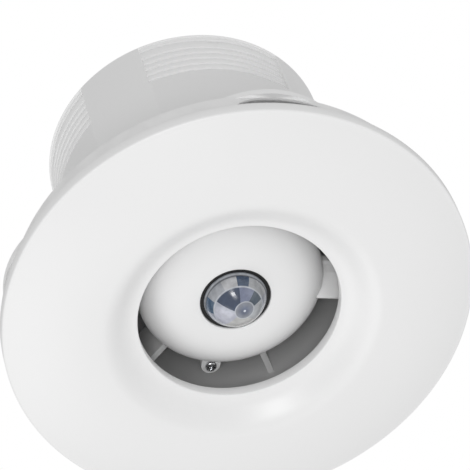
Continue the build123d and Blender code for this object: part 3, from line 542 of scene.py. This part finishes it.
# ABS in light grey, with a soft sheen: the shade inside the inlet is what makes it look dark.
grey_abs = moulded_plastic("grey_carrier_abs", "D8D8D8", 0.42, mottle=0.03)

carrier = turned(
    "carrier_ring",
    [
        (ring_inner, carrier_front),
        (flange_radius, carrier_front),
        (flange_radius, flange_front),
        (ring_outer, flange_front),
        (ring_outer, ring_top),
        (ring_inner, ring_top),
        (ring_inner, carrier_front),
    ],
)
hub = turned(
    "carrier_hub",
    [
        (hub_inner, hub_front),
        (hub_radius, hub_front),
        (hub_radius, hub_top),
        (bearing_hole, hub_top),
        (bearing_hole, hub_back),
        (hub_inner, hub_back),
        (hub_inner, hub_front),
    ],
    192,
)
for n in range(vane_count):
    vane = block(
        "vane",
        (hub_radius - vane_sink, -vane_half, hub_front),
        (ring_inner + vane_sink, vane_half, vane_end),
        360 / vane_count * n,
    )
    combine(hub, [vane], "UNION")
for quarter in (90, 270):
    boss = round_bar("boss", around(boss_circle, quarter), boss_radius, hub_front, boss_end)
    web = block(
        "web",
        (hub_radius - 2 * vane_sink, -boss_radius, hub_front),
        (boss_circle, boss_radius, boss_end),
        quarter,
    )
    combine(boss, [web], "UNION")
    combine(hub, [boss], "UNION")
combine(carrier, [hub], "UNION")
cuts = [
    block(
        "arm_room",
        (hub_radius, -room_half, -0.008),
        (ring_outer + deep, room_half, room_end),
        side,
    )
    for side in (0, 180)
]
ear_places = [around(boss_circle, q) for q in (90, 270)]
cuts += [round_bar("hole", place, small_screw_hole, 0.003, 0.0125) for place in ear_places]
cuts += [
    round_bar("hole", around(motor_screw_circle, q), small_screw_hole, 0.028, 0.033)
    for q in (90, 270)
]
cuts += [round_bar("hole", place, body_screw_hole, -0.008, -0.003) for place in screw_places]
combine(carrier, cuts, "DIFFERENCE")
finish_edges(carrier, 0.00015, segments=2)
dress(carrier, grey_abs, "housing", "carrier_grey", "stator_carrier")


# ---------------------------------------------------------------------------
# Pod bridge. White ABS plate that closes the sensor pod: a disc, two hollow arms
# shaped like fixed blades that reach the body's wall, and two ears for its screws.
# ---------------------------------------------------------------------------
bridge_front = 0.0025
bridge_radius = 0.0316
arm_lean = 0.0075
arm_lee = 0.0055
arm_swell = 0.0006
arm_edge = 0.0031
arm_round = 0.0016
arm_crown = -0.0028
arm_bottom = 0.0085
arm_start = 0.0313
arm_root = 0.0289
arm_end = 0.0460
arm_wall = 0.0016
board_post_circle = 0.0220
board_post_radius = 0.0020


def bow(first, middle, last, steps):
    """Points on the parabola that runs through three points in the (side, height) plane."""
    points = []
    for n in range(steps + 1):
        t = n / steps
        weights = ((1 - t) * (1 - 2 * t), 4 * t * (1 - t), t * (2 * t - 1))
        corners = (first, middle, last)
        points.append(tuple(sum(w * c[k] for w, c in zip(weights, corners)) for k in (0, 1)))
    return points


def arm_outline(gap):
    """Section of an arm: its face slopes back from a round edge, like a fixed blade."""
    shoulder = arm_edge - arm_round
    middle = ((shoulder - arm_lean) / 2, (arm_lee + arm_crown) / 2 - arm_swell - gap)
    corner = (arm_edge - 0.3 * arm_round + gap, arm_crown + 0.3 * arm_round - gap)
    first = (-arm_lean - gap, arm_lee - gap)
    crest = (shoulder, arm_crown - gap)
    last = (arm_edge + gap, arm_crown + arm_round)
    outline = bow(first, middle, crest, 24) + bow(crest, corner, last, 8)[1:]
    return outline + [(last[0], arm_bottom), (first[0], arm_bottom)]


def level_bar(name, outline, start, end, side):
    """Level bar along a radius, made by extruding one edge round its closed outline."""
    deselect()
    bpy.ops.mesh.primitive_plane_add(size=1, location=((start + end) / 2, *outline[0]))
    bar = bpy.context.object
    bar.name = name
    bar.scale = (end - start, 0, 1)
    settle(bar)
    bpy.ops.object.mode_set(mode="EDIT")
    bpy.ops.mesh.select_all(action="SELECT")
    bpy.ops.mesh.remove_doubles(threshold=1e-6)
    for here, there in zip(outline, outline[1:] + outline[:1]):
        step = (0, there[0] - here[0], there[1] - here[1])
        bpy.ops.mesh.extrude_edges_move(TRANSFORM_OT_translate={"value": step})
    bpy.ops.mesh.select_all(action="SELECT")
    bpy.ops.mesh.remove_doubles(threshold=1e-6)
    bpy.ops.mesh.fill_holes(sides=0)
    bpy.ops.mesh.normals_make_consistent(inside=False)
    bpy.ops.object.mode_set(mode="OBJECT")
    bar.rotation_euler = (0, 0, math.radians(side))
    return settle(bar)


def close_ends(piece):
    """Fills the open rims of a turned piece and points its faces outward."""
    pick(piece)
    bpy.ops.object.mode_set(mode="EDIT")
    bpy.ops.mesh.select_all(action="DESELECT")
    bpy.ops.mesh.select_non_manifold()
    bpy.ops.mesh.edge_face_add()
    bpy.ops.mesh.select_all(action="SELECT")
    bpy.ops.mesh.normals_make_consistent(inside=False)
    bpy.ops.object.mode_set(mode="OBJECT")


arm_slope = (arm_lee - arm_crown) / (arm_lean + arm_edge - arm_round)
channel_near = -arm_lean + arm_wall
channel_far = arm_edge - arm_wall
channel_floor = arm_lee + arm_wall * math.sqrt(1 + arm_slope**2)
channel_outline = [
    (channel_near, channel_floor - arm_slope * (channel_near + arm_lean)),
    (channel_far, channel_floor - arm_slope * (channel_far + arm_lean)),
    (channel_far, arm_bottom + deep),
    (channel_near, arm_bottom + deep),
]
bridge = turned(
    "bridge_plate",
    [
        (deep, bridge_front),
        (bridge_radius, bridge_front),
        (bridge_radius, hub_front),
        (deep, hub_front),
    ],
    192,
)
close_ends(bridge)
for side in (0, 180):
    arm = level_bar("arm", arm_outline(0), arm_root, arm_end, side)
    channel = level_bar(
        "channel", channel_outline, arm_start + arm_wall, arm_end - arm_wall, side
    )
    combine(arm, [channel], "DIFFERENCE")
    hub_room = round_bar("hub_room", (0, 0), arm_start, hub_front, arm_bottom + deep, 192)
    combine(arm, [hub_room], "DIFFERENCE")
    combine(bridge, [arm], "UNION")
for quarter in (90, 270):
    ear = round_bar("ear", around(boss_circle, quarter), boss_radius, bridge_front, hub_front)
    web = block(
        "web",
        (bridge_radius - 0.0020, -boss_radius, bridge_front),
        (boss_circle, boss_radius, hub_front),
        quarter,
    )
    combine(ear, [web], "UNION")
    combine(bridge, [ear], "UNION")
ear_holes = [round_bar("hole", place, small_screw_hole, 0.001, 0.006) for place in ear_places]
combine(bridge, ear_holes, "DIFFERENCE")
board_posts = [
    round_bar("post", around(board_post_circle, q), board_post_radius, 0.0015, bridge_front + 1e-4)
    for q in (30, 150, 270)
]
combine(bridge, board_posts, "UNION")
finish_edges(bridge, 0.0002, segments=2)
dress(bridge, base_abs, "housing", "bridge_white", "pod_bridge")


# ---------------------------------------------------------------------------
# Motor. Shaded induction motor in a drawn steel can: laminated stator with
# copper coils, cast aluminium rotor, ground shaft and two shielded bearings.
# ---------------------------------------------------------------------------
def worked_metal(name, colour, roughness, line_mm, stretch, depth_mm=0.01, tint=0.12):
    """Bare or plated metal: fine tool or roller lines, stretched along chosen directions."""
    material = bpy.data.materials.new(name)
    material.use_nodes = True
    tree = material.node_tree
    shader = tree.nodes["Principled BSDF"]
    place = add_node(tree, "ShaderNodeTexCoord").outputs["Object"]
    drawn = add_node(tree, "ShaderNodeMapping", {"Vector": place, "Scale": stretch})
    lines = add_node(
        tree,
        "ShaderNodeTexNoise",
        {"Vector": drawn.outputs[0], "Scale": 1000.0 / line_mm, "Detail": 4.0},
    )
    patchy = add_node(tree, "ShaderNodeTexNoise", {"Vector": place, "Scale": 120.0, "Detail": 3.0})
    dark = tuple(c * (1 - tint) for c in linear(colour)[:3]) + (1.0,)
    shade = add_node(
        tree,
        "ShaderNodeMix",
        {0: patchy.outputs["Fac"], 6: dark, 7: linear(colour)},
        data_type="RGBA",
    )
    tree.links.new(shade.outputs[2], shader.inputs["Base Color"])
    gloss = add_node(
        tree,
        "ShaderNodeMapRange",
        {0: lines.outputs["Fac"], 3: roughness - 0.06, 4: roughness + 0.08},
    )
    tree.links.new(gloss.outputs[0], shader.inputs["Roughness"])
    bump = add_node(
        tree,
        "ShaderNodeBump",
        {"Height": lines.outputs["Fac"], "Strength": 0.3, "Distance": depth_mm / 1000},
    )
    tree.links.new(bump.outputs[0], shader.inputs["Normal"])
    shader.inputs["Metallic"].default_value = 1.0
    return material


def coat(material, *nodes):
    """Gives CAD pieces, whose shape is right as it is, their finished material."""
    for node in nodes:
        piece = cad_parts[node]
        if not piece.material_slots:
            piece.data.materials.append(material)
        for place in piece.material_slots:
            place.material = material


# Zinc-plated steel sheet, deep drawn: bluish grey, faint streaks along the draw.
zinc_can = worked_metal("drawn_zinc_steel", "B9BDC2", 0.34, 0.8, (1, 1, 0.08))
# Electroplated screws: brighter, with fine grinding left from the heading tool.
zinc_screw = worked_metal("plated_screw_steel", "D3D4D6", 0.26, 0.25, (1, 1, 1), 0.006)
# Ground bearing steel: very fine lines round the ring.
ground_steel = worked_metal("ground_bearing_steel", "D8DADC", 0.18, 0.2, (0.3, 0.3, 2), 0.004)
# Centreless-ground shaft steel: hair lines round it.
shaft_steel = worked_metal("ground_shaft_steel", "DDDFE0", 0.16, 0.25, (0.05, 0.05, 3), 0.004)
# Die-cast aluminium, turned outside: pale and slightly rough.
cast_aluminium = worked_metal("cast_rotor_aluminium", "C9CBCC", 0.42, 0.6, (1, 1, 0.4), 0.02)
# Free-cutting brass, turned: warm yellow with close tool lines.
turned_brass = worked_metal("turned_brass", "D9B36A", 0.28, 0.3, (0.2, 0.2, 2), 0.006)
# Nickel-plated can of the sensor: warm grey, nearly mirror smooth.
nickel_plate = worked_metal("nickel_plate", "D6D0C6", 0.2, 0.5, (1, 1, 0.3), 0.004)

# Silicon steel laminations, 0.5 mm thick: oiled dark edges, raised and sunk by turns.
lamination = worked_metal("stacked_laminations", "6E7074", 0.45, 0.7, (1, 1, 0.2), 0.01)
sheet_mm = 0.5
stack_tree = lamination.node_tree
stack_place = add_node(stack_tree, "ShaderNodeTexCoord").outputs["Object"]
sheets = add_node(
    stack_tree,
    "ShaderNodeTexWave",
    {"Vector": stack_place, "Scale": 1000.0 / sheet_mm / 20.0 * math.pi, "Distortion": 0.0},
    bands_direction="Z",
)
sheet_bump = add_node(
    stack_tree,
    "ShaderNodeBump",
    {"Height": sheets.outputs["Fac"], "Strength": 0.7, "Distance": 0.0001},
)
stack_tree.links.new(
    sheet_bump.outputs[0], stack_tree.nodes["Principled BSDF"].inputs["Normal"]
)

# Enamelled copper wire: amber gloss over copper, in close slanting turns about 1 mm apart; the dark
# bands between the turns are painted shade.
wire_mm = 0.5
copper = bpy.data.materials.new("enamelled_copper_winding")
copper.use_nodes = True
wire_tree = copper.node_tree
wire_shader = wire_tree.nodes["Principled BSDF"]
wire_place = add_node(wire_tree, "ShaderNodeTexCoord").outputs["Object"]
turns = add_node(
    wire_tree,
    "ShaderNodeTexWave",
    {"Vector": wire_place, "Scale": 1000.0 / wire_mm / 20.0 * math.pi, "Distortion": 0.6},
    bands_direction="DIAGONAL",
)
# Painted shade: dark brown bands between the copper turns.
copper_and_painted_shade = add_node(
    wire_tree,
    "ShaderNodeMix",
    {0: turns.outputs["Fac"], 6: linear("5A2A12"), 7: linear("C9763C")},
    data_type="RGBA",
)
wire_tree.links.new(copper_and_painted_shade.outputs[2], wire_shader.inputs["Base Color"])
wire_bump = add_node(
    wire_tree,
    "ShaderNodeBump",
    {"Height": turns.outputs["Fac"], "Strength": 0.8, "Distance": 0.0002},
)
wire_tree.links.new(wire_bump.outputs[0], wire_shader.inputs["Normal"])
wire_shader.inputs["Metallic"].default_value = 0.8
wire_shader.inputs["Roughness"].default_value = 0.3
wire_shader.inputs["Coat Weight"].default_value = 0.6

coat(zinc_can, "motor_can", "motor_end_cap")
coat(zinc_screw, "motor_screws")
coat(ground_steel, "front_bearing", "rear_bearing")
coat(lamination, "stator_core")
coat(copper, "stator_coils")
coat(cast_aluminium, "rotor_core")
coat(shaft_steel, "motor_shaft")


# ---------------------------------------------------------------------------
# Impeller. One moulding in glass-filled nylon: a cup-shaped hub with seven
# twisted blades, held on the shaft by a plated washer and a brass nut.
# ---------------------------------------------------------------------------
# Glass-filled nylon: mid grey, dull, with short pale fibres showing at the skin.
fan_nylon = moulded_plastic(
    "glass_filled_nylon", "8E9092", 0.5, grain_mm=0.5, grain_depth=0.02, mottle=0.1
)
coat(fan_nylon, "impeller")
coat(zinc_screw, "impeller_washer")
coat(turned_brass, "impeller_nut")


# ---------------------------------------------------------------------------
# Back-draught shutter. White ABS ring that snaps into the body's windows, with
# two thin polypropylene flaps that hang on steel pins and close on its seat.
# ---------------------------------------------------------------------------
shutter_abs = moulded_plastic("white_shutter_abs", "EFEFEF", 0.42)
# Polypropylene: thin, waxy and slightly see-through, so a little light passes.
flap_polypropylene = moulded_plastic("waxy_polypropylene", "EDEFEF", 0.36, mottle=0.025)
flap_shader = flap_polypropylene.node_tree.nodes["Principled BSDF"]
flap_shader.inputs["Subsurface Weight"].default_value = 0.25
flap_shader.inputs["Subsurface Radius"].default_value = (1.0, 1.0, 1.0)
flap_shader.inputs["Subsurface Scale"].default_value = 0.001
coat(shutter_abs, "shutter_frame")
coat(flap_polypropylene, "left_flap", "right_flap")
coat(shaft_steel, "flap_pins")


# ---------------------------------------------------------------------------
# Wiring. A three-pole terminal block in natural nylon, a rubber grommet in the
# base's entry hole and a black clamp that holds the cable's sheath.
# ---------------------------------------------------------------------------
# Natural polyamide: warm milky white, faintly glossy.
natural_nylon = moulded_plastic("natural_polyamide", "DEDACD", 0.38, mottle=0.04)
# Moulded rubber: near black, dull, with a dusty bloom.
soft_rubber = moulded_plastic(
    "moulded_rubber", "1E1E1E", 0.72, grain_mm=0.4, grain_depth=0.03, mottle=0.35
)
# Black nylon from a textured mould.
black_nylon = moulded_plastic(
    "black_nylon", "232425", 0.46, grain_mm=0.4, grain_depth=0.02, mottle=0.2
)
coat(natural_nylon, "terminal_block")
coat(turned_brass, "terminal_screws")
coat(soft_rubber, "cable_grommet")
coat(black_nylon, "cable_clamp")
coat(zinc_screw, "clamp_screws", "body_screws", "pod_screws", "board_screws")

# ---------------------------------------------------------------------------
# Boards. Control board with relay, capacitor, timer chip and two trimmers that
# set the run-on time and the range; and the round board under the sensor.
# ---------------------------------------------------------------------------
# Glass-epoxy laminate under green solder mask: tracks show as paler raised runs.
solder_mask = bpy.data.materials.new("green_solder_mask")
solder_mask.use_nodes = True
mask_tree = solder_mask.node_tree
mask_shader = mask_tree.nodes["Principled BSDF"]
mask_place = add_node(mask_tree, "ShaderNodeTexCoord").outputs["Object"]
track_pitch = 2.0
tracks = add_node(
    mask_tree,
    "ShaderNodeTexBrick",
    {
        "Vector": mask_place,
        "Scale": 1000.0 / track_pitch / 2,
        "Mortar Size": 0.09,
        "Color1": linear("0E4A26"),
        "Color2": linear("0B4020"),
        "Mortar": linear("2E8148"),
    },
)
mask_tree.links.new(tracks.outputs["Color"], mask_shader.inputs["Base Color"])
track_bump = add_node(
    mask_tree,
    "ShaderNodeBump",
    {"Height": tracks.outputs["Fac"], "Strength": 0.5, "Distance": 0.00005},
)
mask_tree.links.new(track_bump.outputs[0], mask_shader.inputs["Normal"])
mask_shader.inputs["Roughness"].default_value = 0.28
mask_shader.inputs["Coat Weight"].default_value = 0.5

# Relay case: blue polyester, glossy from a polished mould.
relay_blue = moulded_plastic("relay_polyester", "1F4E9A", 0.25, mottle=0.08)
# Electrolytic capacitor's heat-shrunk sleeve: dark blue, tight and shiny.
shrink_sleeve = moulded_plastic("shrink_sleeve", "18202E", 0.22, grain_mm=0.8, mottle=0.15)
# Epoxy moulding compound: charcoal and matt, with a fine spark-eroded grain.
chip_epoxy = moulded_plastic(
    "chip_epoxy", "26272A", 0.6, grain_mm=0.15, grain_depth=0.02, mottle=0.2
)
# Trimmers: glossy blue polyester cases with off-white acetal wheels.
trimmer_blue = moulded_plastic("trimmer_polyester", "2A67B8", 0.32, mottle=0.08)
adjuster_white = moulded_plastic("adjuster_acetal", "F0EFE6", 0.34, mottle=0.03)
# Coated silicon window of the sensor: nearly black with a violet sheen.
filter_glass = moulded_plastic(
    "coated_filter", "1C1A26", 0.12, grain_mm=1.0, grain_depth=0.002, mottle=0.3
)
filter_glass.node_tree.nodes["Principled BSDF"].inputs["Coat Weight"].default_value = 0.8
coat(solder_mask, "control_board", "sensor_board")
coat(relay_blue, "relay")
coat(shrink_sleeve, "supply_capacitor")
coat(chip_epoxy, "timer_chip")
coat(trimmer_blue, "trimmer_bodies")
coat(adjuster_white, "run_on_adjuster", "range_adjuster")
coat(nickel_plate, "sensor_can")
coat(filter_glass, "sensor_window")


# ---------------------------------------------------------------------------
# Pod cover. A domed white cap with a round hole for the lens, moulded in the
# same ABS as the fascia, notched at its edge where it straddles the two arms.
# ---------------------------------------------------------------------------
def arc(centre, radius, start, end, steps):
    """Points on an arc in the (radius, height) plane, angles in degrees."""
    points = []
    for n in range(steps + 1):
        turn = math.radians(start + (end - start) * n / steps)
        points.append((centre[0] + radius * math.cos(turn), centre[1] + radius * math.sin(turn)))
    return points


def bezier(first, second, third, last, steps):
    """Points on a cubic curve in the (radius, height) plane."""
    points = []
    for n in range(steps + 1):
        t = n / steps
        weights = ((1 - t) ** 3, 3 * t * (1 - t) ** 2, 3 * t * t * (1 - t), t**3)
        corners = (first, second, third, last)
        points.append(tuple(sum(w * c[k] for w, c in zip(weights, corners)) for k in (0, 1)))
    return points


pod_radius = 0.0320
pod_wall = 0.0016
pod_front = -0.0085
pod_edge = 0.0015
lens_hole = 0.0121
hole_round = 0.0004

# ABS, moulded: white, with the soft gloss of the faces that are seen.
white_abs = moulded_plastic("white_moulded_abs", "F4F4F4", 0.36)

pod_outline = [(lens_hole, pod_front + pod_wall)]
pod_outline += arc((lens_hole + hole_round, pod_front + hole_round), hole_round, 180, 270, 5)
pod_outline += bezier(
    (lens_hole + hole_round, pod_front),
    (lens_hole + 0.010, pod_front + 0.0002),
    (pod_radius, pod_edge - 0.006),
    (pod_radius, pod_edge),
    40,
)[1:]
pod_outline += [(pod_radius, bridge_front), (pod_radius - pod_wall, bridge_front)]
pod_outline += bezier(
    (pod_radius - pod_wall, pod_edge),
    (pod_radius - pod_wall, pod_edge - 0.005),
    (lens_hole + 0.0094, pod_front + pod_wall + 0.0002),
    (lens_hole, pod_front + pod_wall),
    24,
)
pod_cap = turned("pod_cap", pod_outline, 192)
pod_gap = 0.0002
arm_gaps = [
    level_bar("arm_gap", arm_outline(pod_gap), arm_root - pod_gap, pod_radius + deep, side)
    for side in (0, 180)
]
combine(pod_cap, arm_gaps, "DIFFERENCE")
finish_edges(pod_cap, 0.00012, segments=2)
dress(pod_cap, white_abs, "housing", "pod_white", "pod_cover")


# ---------------------------------------------------------------------------
# Lens. Moulded polycarbonate dome for the movement sensor: a smooth skin whose
# facets throw the room's heat on the sensor.
# ---------------------------------------------------------------------------
lens_radius = 0.0110
lens_apex = -0.0162
lens_base = -0.0075
lens_wall = 0.0010
lens_flange = 0.0024
lens_flange_depth = 0.0012
lens_flange_front = pod_front + pod_wall + 0.0002
lens_cap = lens_base - lens_apex
lens_sphere = (lens_radius**2 + lens_cap**2) / (2 * lens_cap)
lens_centre = lens_apex + lens_sphere
lens_turn = math.degrees(math.asin(lens_radius / lens_sphere))
if lens_cap > lens_sphere:
    lens_turn = 180 - lens_turn

lens_outline = arc((0, lens_centre), lens_sphere, lens_turn - 90, -89.5, 40)
lens_outline = [(lens_radius, lens_flange_front)] + lens_outline
lens_outline = lens_outline[:-1] + [(0, lens_apex)]
lens_outline = [
    (lens_radius - lens_wall, lens_flange_front + lens_flange_depth),
    (lens_radius + lens_flange, lens_flange_front + lens_flange_depth),
    (lens_radius + lens_flange, lens_flange_front),
] + lens_outline
lens = turned("lens_dome", lens_outline, 120)
close_ends(lens)

# Polycarbonate, moulded and polished. Each facet's tone is a painted reflection, the pale seams that
# part the zones are painted highlights, and the bright dot near the middle and the rings at the foot
# are painted highlights and shade; fine rings run round the middle facet.
ring_pitch = 0.0004
facets = bpy.data.materials.new("polycarbonate_painted_reflections")
facets.use_nodes = True
lens_tree = facets.node_tree
lens_shader = lens_tree.nodes["Principled BSDF"]
lens_place = add_node(lens_tree, "ShaderNodeTexCoord").outputs["Object"]
lens_axes = add_node(lens_tree, "ShaderNodeSeparateXYZ", {0: lens_place})
lens_angle = add_node(
    lens_tree,
    "ShaderNodeMath",
    {0: lens_axes.outputs["Y"], 1: lens_axes.outputs["X"]},
    operation="ARCTAN2",
)
lens_share = add_node(
    lens_tree,
    "ShaderNodeMapRange",
    {0: lens_angle.outputs[0], 1: -math.pi, 2: math.pi},
)
flat_place = add_node(
    lens_tree, "ShaderNodeVectorMath", {0: lens_place, 1: (1, 1, 0)}, operation="MULTIPLY"
)
lens_reach = add_node(
    lens_tree, "ShaderNodeVectorMath", {0: flat_place.outputs[0]}, operation="LENGTH"
)
middle_reach = add_node(
    lens_tree,
    "ShaderNodeVectorMath",
    {0: flat_place.outputs[0], 1: (0.0014, -0.0008, 0)},
    operation="DISTANCE",
)
# Painted reflections: the tone of each facet in the ring round the middle facet.
petal_reflections = (
    (0.0, "B4B8C4"),
    (0.036, "3E4A60"),
    (0.2236, "7C839A"),
    (0.333, "45525F"),
    (0.425, "AEB1B5"),
    (0.592, "BDBDBC"),
    (0.817, "B9BBC8"),
)
# Painted reflections: the tone of each facet in the outer ring.
outer_reflections = (
    (0.0, "4A6078"),
    (0.022, "A9ACB2"),
    (0.13, "BEBFC2"),
    (0.215, "4C5A70"),
    (0.287, "A9ABAE"),
    (0.42, "9B9EA8"),
    (0.56, "B5B5B6"),
    (0.80, "A3A7B4"),
    (0.93, "4A6078"),
)


def reflection_ring(tones):
    """Ramp of painted facet reflections round the lens, each constant over its share of the turn."""
    ramp = add_node(lens_tree, "ShaderNodeValToRGB", {0: lens_share.outputs[0]})
    ramp.color_ramp.interpolation = "CONSTANT"
    stops = ramp.color_ramp.elements
    stops[0].position, stops[0].color = tones[0][0], linear(tones[0][1])
    stops[1].position, stops[1].color = tones[1][0], linear(tones[1][1])
    for share, tone in tones[2:]:
        stops.new(share).color = linear(tone)
    return ramp.outputs[0]


def blend_at(under, over, reach, edge, width=0.00012):
    """Shows the first colour within a radius and the second beyond it, with a soft seam."""
    step = add_node(
        lens_tree, "ShaderNodeMapRange", {0: reach, 1: edge - width, 2: edge + width}
    )
    mixed = add_node(
        lens_tree,
        "ShaderNodeMix",
        {0: step.outputs[0], 6: under, 7: over},
        data_type="RGBA",
    )
    return mixed.outputs[2]


lens_rings = add_node(
    lens_tree,
    "ShaderNodeMath",
    {0: middle_reach.outputs["Value"], 1: 2 * math.pi / ring_pitch},
    operation="MULTIPLY",
)
lens_wave = add_node(lens_tree, "ShaderNodeMath", {0: lens_rings.outputs[0]}, operation="SINE")
lens_cloud = add_node(
    lens_tree, "ShaderNodeTexNoise", {"Vector": lens_place, "Scale": 380.0, "Detail": 3.0}
)
# Painted highlight: the bright dot near the middle facet's centre. Round it, the middle facet's
# tones are painted reflections.
centre_glint_and_reflections = blend_at(linear("E9EEF8"), linear("6B7387"), middle_reach.outputs["Value"], 0.0004)
centre_glint_and_reflections = blend_at(centre_glint_and_reflections, linear("8F939C"), middle_reach.outputs["Value"], 0.0019, 0.0009)
# Painted highlights: the pale seams between the middle facet, the petals and the outer ring.
inner = blend_at(centre_glint_and_reflections, linear("C3C7CF"), middle_reach.outputs["Value"], 0.0031)
inner = blend_at(inner, reflection_ring(petal_reflections), middle_reach.outputs["Value"], 0.0034)
inner = blend_at(inner, linear("C9CDD4"), lens_reach.outputs["Value"], 0.0081)
outer = blend_at(inner, reflection_ring(outer_reflections), lens_reach.outputs["Value"], 0.0084)
# Painted shade and highlight at the dome's foot: a dark ring, then a pale ring, then black beyond it
# as the painted shadow of the gap round the lens.
outer = blend_at(outer, linear("3A3E47"), lens_reach.outputs["Value"], 0.0103)
outer = blend_at(outer, linear("BCC0C6"), lens_reach.outputs["Value"], 0.0105)
rim_with_painted_shade = blend_at(outer, linear("141517"), lens_reach.outputs["Value"], 0.0108)
cloudy = add_node(
    lens_tree,
    "ShaderNodeMapRange",
    {0: lens_cloud.outputs["Fac"], 1: 0.3, 2: 0.7, 3: 0.78, 4: 1.12},
)
lens_tint = add_node(
    lens_tree,
    "ShaderNodeVectorMath",
    {0: rim_with_painted_shade, "Scale": cloudy.outputs[0]},
    operation="SCALE",
)
lens_tree.links.new(lens_tint.outputs[0], lens_shader.inputs["Base Color"])
lens_bump = add_node(
    lens_tree,
    "ShaderNodeBump",
    {"Height": lens_wave.outputs[0], "Strength": 0.25, "Distance": 0.00004},
)
lens_tree.links.new(lens_bump.outputs[0], lens_shader.inputs["Normal"])
lens_shader.inputs["Roughness"].default_value = 0.18
lens_shader.inputs["IOR"].default_value = 1.58
lens_shader.inputs["Coat Weight"].default_value = 0.6
lens_shader.inputs["Coat Roughness"].default_value = 0.04
finish_edges(lens, 0.0, angle=35)
dress(lens, facets, "housing", "lens_clear", "sensor_lens")
coat(soft_rubber, "lens_seal")


# ---------------------------------------------------------------------------
# Front fascia. One large injection moulding in white ABS: a dished ring with
# a convex face, a soft crest and a throat, on four round pegs at the back.
# ---------------------------------------------------------------------------
fascia_radius = 0.0800
fascia_wall = 0.0022
rim_height = -0.0117
corner_height = rim_height - 0.0044
crest_radius = 0.0480
crest_height = rim_height - 0.0104
throat_radius = 0.0346
lip_height = rim_height - 0.0040
rim_round = 0.0008
lip_round = 0.0005
face_run = fascia_radius - rim_round - crest_radius
face_drop = corner_height - crest_height
face_curve = (face_run**2 + face_drop**2) / (2 * face_drop)
face_turn = math.degrees(math.asin(face_run / face_curve))

fascia_outline = [(throat_radius, rim_height)]
fascia_outline += arc((throat_radius + lip_round, lip_height + lip_round), lip_round, 180, 270, 6)
fascia_outline += bezier(
    (throat_radius + lip_round, lip_height),
    (throat_radius + 0.0055, lip_height - 0.0003),
    (crest_radius - 0.0050, crest_height),
    (crest_radius, crest_height),
    24,
)[1:]
fascia_outline += arc(
    (crest_radius, crest_height + face_curve), face_curve, -90, face_turn - 90, 30
)[1:]
fascia_outline += arc(
    (fascia_radius - rim_round, corner_height + rim_round), rim_round, -80, 0, 8
)
fascia_outline += [(fascia_radius, rim_height), (fascia_radius - fascia_wall, rim_height)]
inner_turn = math.degrees(math.asin((fascia_radius - fascia_wall - crest_radius) / face_curve))
fascia_outline += arc(
    (crest_radius, crest_height + fascia_wall + face_curve), face_curve, inner_turn - 90, -90, 20
)
fascia_outline += bezier(
    (crest_radius, crest_height + fascia_wall),
    (crest_radius - 0.0042, crest_height + fascia_wall),
    (throat_radius + 0.0065, lip_height + 0.0015),
    (throat_radius + fascia_wall, lip_height + fascia_wall),
    16,
)[1:]
fascia_outline += [(throat_radius + fascia_wall, rim_height), (throat_radius, rim_height)]
fascia = turned("fascia_moulding", fascia_outline)

peg_radius = 0.0025
peg_tip = -0.0050
peg_root = crest_height + face_curve + 0.0009 - math.sqrt(
    face_curve**2 - (cavity_radius + peg_radius - crest_radius) ** 2
)
pegs = [round_bar("peg", place, peg_radius, peg_root, peg_tip) for place in peg_places]
combine(fascia, pegs, "UNION")
finish_edges(fascia, 0.00015, segments=2)
dress(fascia, white_abs, "fascia", "fascia_white", "front_fascia")
